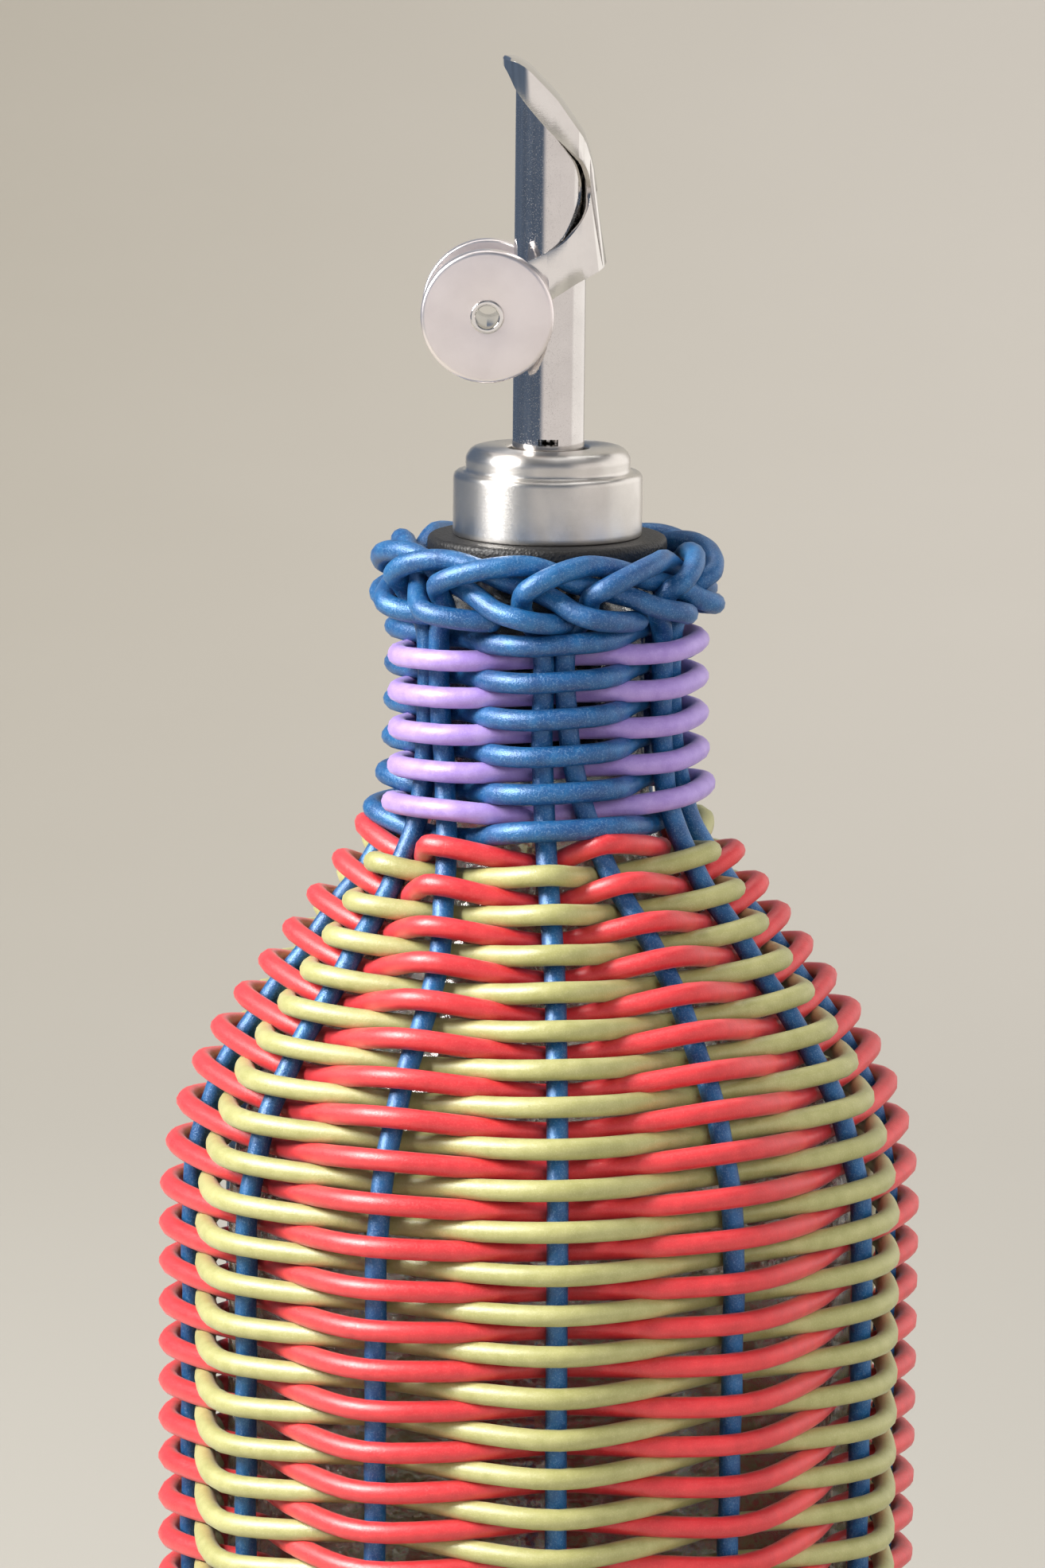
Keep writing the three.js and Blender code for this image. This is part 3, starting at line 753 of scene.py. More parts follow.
@dataclass
class Weave:
    """The woven cover: twelve stakes from six canes, and pairs of weavers that chase round them."""

    line: Outline = field(default_factory=Outline)
    cane: float = 2.5
    gap: float = 0.2
    stakes: int = 12
    first_stake: float = 2.3
    stake_step: float = 4.0
    heel_step: float = 2.5
    pair_wrap: float = 3.0
    pair_slack: float = 1.02
    pair_shift: float = 1.0
    gather_delay: float = 8.0
    cross_reach: float = 14.0
    cross_half: float = 1.9
    base_start: float = 17.0
    base_turns: float = 3.5
    base_slack: float = 0.4
    heel_reach: float = 6.0
    end_below_neck: float = 12.5
    neck_start_lift: float = 3.7
    neck_end_gap: float = 0.5
    neck_slack: float = 1.4
    neck_overlap: float = 5.0
    rim_dip: float = 0.3
    rim_flare: float = 1.1
    border_angle: float = 12.5
    red_lead: float = 2 / 3
    neck_lead: int = 2
    purple_lag: float = 0.75
    crimp: float = 0.08
    seed: int = 7
    steps: int = 8
    smooth_steps: int = 4
    crease: float = 60.0

    # Rows are moved along the outline only where it stands more upright than this
    upright: float = 0.5

    # Half the height of a row on the body and on the neck, in canes
    row_half: float = 0.44
    neck_row_half: float = 0.4

    # How much lower a row lies behind a stake of the shoulder, how much higher behind one of the wall, and
    # how far above the foot and round the shoulder these come in
    settle: float = 2.1
    wall_rise: float = 1.2
    rise_reach: float = 40.0
    settle_below: float = 38.0
    settle_above: float = 10.0

    # The hand that wove it: chance height of a row, lift of every other pass, and sag of the middle rows
    hand_lift: float = 0.13
    odd_lift: float = 0.35
    row_sag: float = 0.8
    sag_start: float = 40.0
    sag_end: float = 8.0
    sag_eased: float = 0.7

    # Height, waves and shift from stake to stake, of the stakes' bow off the outline and their sway round it
    bow: tuple[float, float, float] = (0.12, 0.55, 1.7)
    sway: tuple[float, float, float] = (0.5, 0.031, 2.3)
    sway_start: float = 40.0
    sway_full: float = 70.0

    # The two stakes of each through cane, its lane beside the others, and whether it lies on top
    crossing: tuple[tuple[int, int, int, bool], ...] = (
        (0, 6, 0, False),
        (1, 5, 1, False),
        (11, 7, -1, False),
        (3, 9, 0, True),
        (2, 10, 1, True),
        (4, 8, -1, True),
    )

    # How far each stake leans round from its even place, in degrees
    strays: tuple[float, ...] = (1.0, 0.0, 3.0, 2.0, 0.6, -0.8, 0.5, -0.6, 0.9, 0.4, 2.0, 1.3)

    # Steps along the border in stakes, then radius from the riser and height, both in canes
    border: tuple[tuple[float, float, float], ...] = (
        (0, -0.06, 0.66),
        (0.02, 0.52, 1.55),
        (0.14, 1.04, 2.02),
        (0.45, 0.92, 2.6),
        (0.8, 0.5, 2.92),
        (1.1, -0.02, 2.92),
        (1.45, -0.3, 2.6),
        (1.8, -0.28, 2.12),
        (2.12, -0.27, 1.84),
        (2.5, 0.36, 1.4),
        (2.75, 0.9, 0.92),
        (3, 1.26, 0.64),
        (3.25, 1.02, 0.45),
        (3.5, 0.45, 0.32),
        (3.64, 0.1, 0.28),
    )

    def __post_init__(self) -> None:
        """Work out the pitches and where each weave runs."""
        self.pitch = self.cane * self.row_half * 4 + 2 * self.gap
        self.neck_pitch = self.cane * self.neck_row_half * 4 + 1.5 * self.gap
        self.swing = self.cane + self.gap
        self.body_start = self.line.heel_at + self.heel_reach
        self.body_end = self.line.neck_at - self.end_below_neck
        self.body_turns = math.floor((self.body_end - self.body_start) / self.pitch * 2) / 2
        climb = self.line.length - self.neck_end_gap - self.body_end - self.neck_start_lift
        groups = self.stakes // 2
        self.neck_turns = math.floor(climb / self.neck_pitch * groups + 1e-6) / groups
        self.pair_half = math.degrees(math.asin(self.swing / 2 / self.line.neck_radius)) * self.pair_slack
        self.chance = random.Random(self.seed)

    def stake_angle(self, stake: int, length: float) -> float:
        """Give a stake's angle, which gathers into pairs towards the neck.

        Args:
            stake: The stake's number, which may run on round.
            length: The length along the outline.

        Returns:
            The angle in degrees.
        """
        turns, i = divmod(stake, self.stakes)
        body = self.first_stake + 360 / self.stakes * i + self.strays[i]
        neck = self._pair_centre(i) + (self.pair_half if i % 2 else -self.pair_half)
        return mix(body, neck, self._gather(length)) + 360 * turns

    def _pair_centre(self, stake: int) -> float:
        """Give the angle of the middle of a stake's pair."""
        return self.first_stake + 360 / self.stakes * (stake - stake % 2) + self.pair_shift

    def _gather(self, length: float) -> float:
        """Give how far the stakes have gathered, from 0 to 1."""
        return ease(length, self.line.slope_at + self.gather_delay, self.line.neck_at + self.gather_delay)

    def _woven(
        self, near: float, length: float, wave: float, reach: float, wrap: float = 0.0, lift: float = 0.0
    ) -> Vector:
        """Find a point of a weaver, which swings level and settles where it passes behind a stake.

        Args:
            near: The stake's number, with a share of the way to the next one.
            length: The length along the outline.
            wave: From -1 behind a stake to 1 in front of it.
            reach: How far it stands off the stakes at most.
            wrap: Degrees to add.
            lift: Extra height from the hand that wove it.

        Returns:
            The point.
        """
        _, _, across, up = self.line.section(length)
        settle = self._settle(length)
        if across > self.upright:
            length += (lift - max(up, 0.0) * wave * reach - (1 - wave) / 2 * settle) / across
        whole = math.floor(near)
        degrees = mix(self.stake_angle(whole, length), self.stake_angle(whole + 1, length), near - whole)
        return self.line.point(length, degrees + wrap, wave * reach)

    def _settle(self, length: float) -> float:
        """Give how much lower a row lies behind a stake than in front of it.

        Args:
            length: The length along the outline.

        Returns:
            The drop, which is less than 0 on the wall.
        """
        line = self.line
        wall = -self.wall_rise * ease(length, line.wall_at, line.wall_at + self.rise_reach)
        slope = ease(length, line.shoulder_at - self.settle_below, line.slope_at + self.settle_above)
        return mix(wall, self.settle, slope) * (1 - ease(length, self.body_end, line.neck_at))

    def _hand(self, near: float, length: float) -> float:
        """Give how much higher or lower the hand that wove it laid a row.

        Args:
            near: The stake's number, with a share of the way to the next one.
            length: The length along the outline.

        Returns:
            The extra height.
        """
        slope = ease(length, self.line.shoulder_at, self.line.slope_at)
        middle = ease(length, self.line.wall_at + self.sag_start, self.line.shoulder_at - self.sag_end)
        odd = -math.cos(math.pi * near) * slope
        return self.odd_lift * odd - self.row_sag * middle * (1 - self.sag_eased * slope)

    @staticmethod
    def _ripple(shape: tuple[float, float, float], run: float, stake: int) -> float:
        """Give a stake's small bend at a run along it."""
        height, waves, shift = shape
        return height * math.sin(run * waves + stake * shift)

    def stake_line(self, stake: int) -> list[Vector]:
        """Draw half a cane: from the fan under the base, up a stake, to the end of its border.

        Args:
            stake: The stake's number.

        Returns:
            The points to pass.
        """
        points = []
        run = self.cross_reach
        while run < self.line.neck_at + self.neck_overlap:
            bow = self._ripple(self.bow, run, stake)
            free = ease(run, self.sway_start, self.sway_full)
            sway = self._ripple(self.sway, run, stake) * free * (1 - self._gather(run))
            points.append(self.line.point(run, self.stake_angle(stake, run) + sway, bow))
            run += self.stake_step if run > self.line.wall_at else self.heel_step
        top = self.stake_angle(stake, self.line.length)
        points.append(place(self.line.neck_radius, top, self.line.neck_top - self.rim_dip))
        riser = self.line.neck_radius + self.rim_flare
        base = self.line.neck_top + self.cane * 0.5
        for along, out, up in self.border:
            whole = math.floor(along)
            degrees = mix(self._rim_angle(stake + whole), self._rim_angle(stake + whole + 1), along - whole)
            points.append(place(riser + out * self.cane, degrees, base + up * self.cane))
        return points

    def _rim_angle(self, stake: int) -> float:
        """Give a stake's angle where it stands in the border."""
        turns, i = divmod(stake, self.stakes)
        return self._pair_centre(i) + (self.border_angle if i % 2 else -self.border_angle) + 360 * turns

    def through_cane(self, first: int, last: int, lane: int, upper: bool) -> list[Vector]:
        """Draw a whole cane that makes two stakes and crosses under the base.

        Args:
            first: The stake at one end.
            last: The stake at the other end.
            lane: Which of the three parallel canes it is, from -1 to 1.
            upper: Whether it lies on the other three.

        Returns:
            The points to pass.
        """
        width = self.cane + self.gap
        level = self.line.base_height + (width if upper else -width) / 2
        ahead = self.first_stake + (90 if upper else 0)
        aside = place(lane * width, ahead + (-90 if upper else 90), 0)
        half = width * self.cross_half
        inner = [place(reach, ahead, level) + aside for reach in (half, 0.0, -half)]
        return self.stake_line(first)[::-1] + inner + self.stake_line(last)

    def chase(self, start: float, turns: float, second: bool, base: bool = False) -> list[Vector]:
        """Draw a weaver that goes in front of one stake and behind the next.

        Args:
            start: Where it starts along the outline.
            turns: How often it goes round.
            second: Whether it is the second weaver of the two.
            base: Whether it lies in the base, where the rows are pressed flat.

        Returns:
            The points of the line.
        """
        count = round(turns * self.stakes)
        lag = self.pitch / 2 if second else 0.0
        lifts = [self.chance.uniform(-self.hand_lift, self.hand_lift) for _ in range(count + 1)]
        points = []
        for i in range(count):
            for j in range(self.steps if i < count - 1 else self.steps + 1):
                share = j / self.steps
                arch = self._arch(share)
                soft = (1 - arch) / 2
                wave = arch * (1 if (i + second) % 2 else -1)
                length = start + self.pitch * (i + share) / self.stakes + lag
                lift = 0.0 if base else mix(lifts[i], lifts[i + 1], soft) + self._hand(i + share, length)
                slack = self.base_slack if base else self.neck_slack * self._gather(length)
                reach = self.swing + self.gap * slack
                points.append(self._woven(i + share, length, wave, reach, 0.0, lift))
        return points

    def _arch(self, share: float) -> float:
        """Give the swing from 1 at a stake to -1 at the next, bent most where the cane crosses them."""
        turn = math.pi * share
        return (math.cos(turn) + self.crimp * math.cos(3 * turn)) / (1 + self.crimp)

    def neck_chase(self, turns: float, second: bool) -> list[Vector]:
        """Draw a weaver that passes pairs of stakes on the neck.

        Args:
            turns: How often it goes round.
            second: Whether it is the second weaver of the two.

        Returns:
            The points of the line.
        """
        stops = []
        for pair in range(-self.neck_lead, round(turns * self.stakes / 2) + 1):
            for stake in (2 * pair, 2 * pair + 1):
                climb = self.neck_pitch * (stake / self.stakes + (0.5 if second else 0.0))
                wrap = self.pair_wrap if stake % 2 else -self.pair_wrap
                wave = -1.0 if (pair + second) % 2 else 1.0
                stops.append((stake, self.body_end + self.neck_start_lift + climb, wave, wrap))
        points = []
        for here, ahead in zip(stops, stops[1:]):
            for j in range(self.steps):
                share = j / self.steps
                stake, length, wave, wrap = (mix(a, b, share) for a, b in zip(here, ahead))
                if here[2] != ahead[2]:
                    wave = here[2] * math.cos(math.pi * share)
                points.append(self._woven(stake, length, wave, self.swing, wrap))
        return points

    def cane_mesh(self, name: str, line: Sequence[Vector], pressed: bool = False) -> bpy.types.Mesh:
        """Sweep round cane along a line and round its ends.

        Args:
            name: The mesh's name.
            line: The points of the line, in millimetres.
            pressed: Whether the underside is pressed flat on the table.

        Returns:
            The mesh.
        """
        radius = self.cane / 2
        head = (line[0] - line[1]).normalized()
        tail = (line[-1] - line[-2]).normalized()
        domed = ((0.98, 0.2), (0.85, 0.53), (0.5, 0.87))
        stops = [(line[0] + head * (radius * off), size) for off, size in domed]
        stops += [(spot, 1.0) for spot in line]
        stops += [(line[-1] + tail * (radius * off), size) for off, size in reversed(domed)]
        curve = bpy.data.curves.new(name, "CURVE")
        curve.dimensions = "3D"
        curve.bevel_depth = radius * MM
        curve.bevel_resolution = 4
        curve.use_fill_caps = True
        spline = curve.splines.new("POLY")
        spline.points.add(len(stops) - 1)
        for point, (spot, size) in zip(spline.points, stops):
            point.co = (*(spot * MM), 1.0)
            point.radius = size
        swept = bpy.data.objects.new(name, curve)
        bpy.context.scene.collection.objects.link(swept)
        ready = swept.evaluated_get(bpy.context.evaluated_depsgraph_get())
        mesh = bpy.data.meshes.new_from_object(ready)
        bpy.data.objects.remove(swept)
        bpy.data.curves.remove(curve)
        bm = bmesh.new()
        bm.from_mesh(mesh)
        bmesh.ops.remove_doubles(bm, verts=bm.verts, dist=1e-7)
        bmesh.ops.recalc_face_normals(bm, faces=bm.faces)
        for vert in bm.verts if pressed else ():
            vert.co.z = max(vert.co.z, 0.0)
        bm.to_mesh(mesh)
        bm.free()
        return mesh

    def build(self, finishes: dict[Slot, bpy.types.Material]) -> None:
        """Make and dress every cane of the cover.

        Args:
            finishes: The materials by slot.
        """
        step = 1 / self.stakes
        rows = (
            ("base", "red", Slot.RED, self.chase(self.base_start, self.base_turns, False, True)),
            ("base", "olive", Slot.OLIVE, self.chase(self.base_start, self.base_turns, True, True)),
            ("body", "red", Slot.RED, self.chase(self.body_start, self.body_turns + self.red_lead, False)),
            ("body", "olive", Slot.OLIVE, self.chase(self.body_start, self.body_turns - step, True)),
            ("neck", "blue", Slot.BLUE, self.neck_chase(self.neck_turns + 2 * step, False)),
            ("neck", "purple", Slot.PURPLE, self.neck_chase(self.neck_turns - self.purple_lag, True)),
        )
        canes = []
        for number, ends in enumerate(self.crossing, 1):
            line = curve_through(self.through_cane(*ends), self.smooth_steps)
            canes.append((f"blue_stake_{number}", f"stake_cane_{number}", Slot.BLUE, line))
        for where, colour, slot, line in rows:
            canes.append((f"{where}_rows_{colour}", f"{where}_weaver_{colour}", slot, line))
        for name, node, slot, line in canes:
            mesh = self.cane_mesh(name, line, pressed=name.startswith("base"))
            dress(show(name, mesh, finishes[slot], self.crease), Body.BOTTLE, node)


@dataclass
class Bottle:
    """The glass bottle inside the cover."""

    line: Outline = field(default_factory=Outline)
    inset: float = 4.3
    wall: float = 2.25
    floor: float = 4.0
    lip_top: float = 195.265
    lip_height: float = 6.0
    lip_step: float = 0.9
    bore_start: float = 3.0
    floor_corner: float = 4.0
    bend_steps: int = 8
    skipped: int = 5
    steps: int = 128

    # Radius and height of the hollow under the bottle
    punt: tuple[Flat, ...] = ((0, 0.6), (14, 0.4), (26, 0))

    # Share of the radius and drop of the dished floor inside
    dish: tuple[Flat, ...] = ((1, 0), (0.5, 0.4), (0, 0.5))

    def outline(self) -> list[Flat]:
        """Draw the glass from the middle of its underside, over the lip, to the middle of its floor.

        Returns:
            The points of the outline, radius and height.
        """
        line = self.line
        heel, shoulder = (line.heel_at, line.wall_at), (line.shoulder_at, line.slope_at)
        bends = (heel, shoulder, (line.neck_bend_at, line.neck_at))
        outer, inner = [], []
        for start, end in bends:
            for i in range(self.bend_steps + 1):
                radius, height, across, up = line.section(mix(start, end, i / self.bend_steps))
                outer.append((radius - across * self.inset, height - up * self.inset))
                deep = self.inset + self.wall
                inner.append((radius - across * deep, height - up * deep))
        low = self.line.base_height + self.inset
        neck = self.line.neck_radius - self.inset
        bore = neck - self.wall
        lip = rounded(
            (
                (neck, self.line.neck_foot, 0),
                (neck, self.lip_top - self.lip_height - self.lip_step, 0.5),
                (neck + self.lip_step, self.lip_top - self.lip_height, 0.6),
                (neck + self.lip_step, self.lip_top, 1.4),
                (bore, self.lip_top, 0.9),
                (bore, self.lip_top - self.bore_start, 0),
            ),
            closed=False,
        )
        edge = self.line.body_radius - self.inset - self.wall - self.floor_corner
        top = low + self.floor
        floor = [(edge * share, top - drop) for share, drop in self.dish]
        punt = [(radius, low + height) for radius, height in self.punt]
        return punt + outer + lip[1:] + inner[self.skipped :][::-1] + floor

    def build(self, finishes: dict[Slot, bpy.types.Material]) -> None:
        """Make and dress the glass."""
        bm = turned(self.outline(), self.steps, closed=False)
        add_piece("clear_bottle", bm, Body.BOTTLE, "glass_bottle", finishes[Slot.GLASS])


@dataclass
class Pourer:
    """The stopper, the cap, the pour tube with its breather, and the hinge pin."""

    lip_top: float = 195.265
    flange_radius: float = 14.0
    flange: float = 3.2
    plug_radius: float = 8.95
    plug_length: float = 24.0
    ribs: int = 4
    rib_depth: float = 0.7
    rib_foot: float = 0.25
    rib_crest: float = 0.85
    plug_taper: float = 1.6
    plug_clear: float = 2.0
    flange_ease: Flat = (0.7, 1.0)
    cap_radius: float = 11.05
    cap_skirt: float = 7.4
    cap_height: float = 10.4
    cap_step: float = 1.45
    sheet: float = 0.6
    seat_gap: float = 0.3
    tube_radius: float = 4.2
    tube_wall: float = 0.5
    tube_rise: float = 44.3
    slant: float = 51.4
    vent_width: float = 2.3
    vent_height: float = 0.8
    vent_lift: float = 0.4
    breather_radius: float = 1.3
    breather_wall: float = 0.4
    breather_reach: float = 45.0
    breather_over: float = 1.2
    breather_open: float = 0.8
    pivot_x: float = -1.0
    pivot_rise: float = 18.0
    pin_radius: float = 0.7
    pin_reach: float = 5.25
    pin_ease: float = 0.18
    mouth_ease: float = 0.1
    mouth_from: float = 20.0
    spare: float = 2.0
    tube_crease: float = 15.0
    crisp: float = 0.7

    # Share of the radius and drop of the breather's closed top
    breather_top: tuple[Flat, ...] = ((0, 0), (0.6, 0.05), (1, 0.5))

    def __post_init__(self) -> None:
        """Work out the heights."""
        self.flange_top = self.lip_top + self.flange
        self.cap_top = self.flange_top + self.cap_height
        self.plug_end = self.lip_top - self.plug_length
        self.hole = self.tube_radius + self.seat_gap

    def build(self, finishes: dict[Slot, bpy.types.Material], drawn: bpy.types.Material) -> None:
        """Make and dress the pieces that lift out together.

        Args:
            finishes: The materials by slot.
            drawn: The finish of the drawn tube.
        """
        body, steel = Body.POURER, finishes[Slot.POLISHED]
        stopper, cap = turned(self._stopper(), steps=112), turned(self._cap(), steps=128)
        add_piece("black_stopper", stopper, body, "rubber_stopper", finishes[Slot.RUBBER])
        add_piece("stepped_cap", cap, body, "steel_cap", finishes[Slot.SATIN])
        add_piece("slanted_tube", self._tube(), body, "pour_tube", drawn, self.tube_crease)
        add_piece("air_pipe", self._breather(), body, "breather_tube", steel)
        add_piece("cross_pin", self._pin(), body, "hinge_pin", steel)

    def _stopper(self) -> list[Flat]:
        """Draw the stopper: a ribbed plug, a flange and a boss under the cap.

        Returns:
            The points of the outline, radius and height.
        """
        boss = self.cap_radius - self.sheet - self.seat_gap
        boss_top = self.flange_top + self.cap_skirt - self.sheet - self.seat_gap
        core = self.plug_radius - self.rib_depth
        corners = [(self.hole, self.plug_end, 0.2), (self.plug_radius - self.plug_taper, self.plug_end, 0.5)]
        pitch = (self.plug_length - self.plug_clear) / self.ribs
        for i in range(self.ribs):
            low = self.plug_end + pitch * i
            corners += [
                (core, low + pitch * self.rib_foot, 0.4),
                (self.plug_radius, low + pitch * self.rib_crest, 0.5),
                (core, low + pitch, 0.3),
            ]
        corners += [
            (core, self.lip_top, 0.3),
            (self.flange_radius - self.flange_ease[0], self.lip_top, 0.5),
            (self.flange_radius, self.lip_top + self.flange_ease[1], 0.9),
            (self.flange_radius, self.flange_top, 0.8),
            (boss, self.flange_top, 0.1),
            (boss, boss_top, 0.3),
            (self.hole, boss_top, 0.2),
        ]
        return rounded(corners)

    def _cap(self) -> list[Flat]:
        """Draw the cap's sheet: a skirt, a step and a domed top round the tube.

        Returns:
            The points of the outline, radius and height.
        """
        low, top = self.flange_top, self.cap_top
        dome = self.cap_radius - self.cap_step
        wall = self.sheet
        outer = [
            (self.cap_radius - 0.12, low + 0.02, 0.2),
            (self.cap_radius, low + 0.55, 0.4),
            (self.cap_radius, low + self.cap_skirt, 1.3),
            (dome, low + self.cap_skirt + 0.12, 0.5),
            (dome + 0.05, top - 1.2, 0.5),
            (dome - 0.7, top - 0.15, 1.6),
            (dome - 2.8, top, 1.2),
            (self.hole + 0.25, top - 0.12, 0.3),
        ]
        inner = [
            (self.hole + 0.25, top - 0.12 - wall, 0.1),
            (dome - 2.6, top - wall, 0.8),
            (dome - 1.2, top - 0.4 - wall, 0.6),
            (dome - wall, low + self.cap_skirt + 0.5, 0.4),
            (dome - wall, low + self.cap_skirt - wall + 0.12, 0.2),
            (self.cap_radius - wall, low + self.cap_skirt - wall, 0.5),
            (self.cap_radius - wall, low + 0.02, 0.1),
        ]
        return rounded(outer + inner, steps=6)

    def _tube(self) -> bmesh.types.BMesh:
        """Make the tube: cut the mouth on a slant, open the vent, then give the wall its thickness.

        Returns:
            The mesh in millimetres.
        """
        top = self.cap_top + self.tube_rise
        tall = top + self.spare - self.plug_end
        lift = Matrix.Translation((0, 0, self.plug_end + tall / 2))
        bm = cylinder(self.tube_radius, tall, steps=96, matrix=lift, capped=False)
        lean = math.radians(self.slant)
        self._cut(bm, Vector((-self.tube_radius, 0, top)), Vector((math.sin(lean), 0, math.cos(lean))), True)
        self._open_vent(bm, self.vent_width / 2)
        self._thicken(bm, self.tube_wall)
        sharp = [e for e in bm.edges if e.calc_face_angle(0) > self.crisp]
        low = self.cap_top + self.mouth_from
        mouth = [e for e in sharp if min(v.co.z for v in e.verts) > low]
        ease_edges(bm, mouth, self.mouth_ease, steps=2)
        return bm

    @staticmethod
    def _cut(bm: bmesh.types.BMesh, spot: Vector, facing: Vector, clear: bool = False) -> None:
        """Cut a mesh along a plane, and clear what lies beyond it if asked."""
        where = {"plane_co": spot, "plane_no": facing, "dist": 1e-5}
        bmesh.ops.bisect_plane(bm, geom=everything(bm), clear_outer=clear, **where)

    def _open_vent(self, bm: bmesh.types.BMesh, half: float) -> None:
        """Open the front of an upright wall at the vent's height.

        Args:
            bm: The wall with no thickness.
            half: Half the width of the opening.
        """
        low = self.cap_top + self.vent_lift
        high = low + self.vent_height
        for height in (low, high):
            self._cut(bm, Vector((0, 0, height)), Vector((0, 0, 1)))
        for across in (-half, half):
            self._cut(bm, Vector((across, 0, 0)), Vector((1, 0, 0)))
        middles = {f: f.calc_center_median() for f in bm.faces}
        vent = [f for f, m in middles.items() if m.y < 0 and abs(m.x) < half and low < m.z < high]
        bmesh.ops.delete(bm, geom=vent, context="FACES")

    @staticmethod
    def _thicken(bm: bmesh.types.BMesh, wall: float) -> None:
        """Give an open wall its thickness, inwards.

        Args:
            bm: The wall.
            wall: Its thickness.
        """
        bmesh.ops.recalc_face_normals(bm, faces=bm.faces)
        bmesh.ops.solidify(bm, geom=bm.faces[:], thickness=wall)
        bmesh.ops.recalc_face_normals(bm, faces=bm.faces)

    def _breather(self) -> bmesh.types.BMesh:
        """Make the thin air pipe, closed at its top and open at its front to the vent.

        Returns:
            The mesh in millimetres.
        """
        radius = self.breather_radius
        top = self.cap_top + self.vent_lift + self.vent_height + self.breather_over
        outline = [(radius * share, top - drop) for share, drop in self.breather_top]
        outline.append((radius, self.plug_end - self.breather_reach))
        bm = turned(outline, steps=28, closed=False)
        self._open_vent(bm, radius * self.breather_open)
        self._thicken(bm, self.breather_wall)
        offset = -(self.tube_radius - self.tube_wall - radius - self.seat_gap)
        bmesh.ops.translate(bm, vec=(0, offset, 0), verts=bm.verts)
        return bm

    def _pin(self) -> bmesh.types.BMesh:
        """Make the cross pin with eased ends.

        Returns:
            The mesh in millimetres.
        """
        spot = Vector((self.pivot_x, 0, self.cap_top + self.pivot_rise))
        matrix = Matrix.Translation(spot) @ Matrix.Rotation(math.pi / 2, 4, "X")
        bm = cylinder(self.pin_radius, 2 * self.pin_reach, steps=32, matrix=matrix, capped=True)
        rims = [e for e in bm.edges if e.calc_face_angle(0) > self.crisp]
        ease_edges(bm, rims, self.pin_ease, steps=3)
        return bm


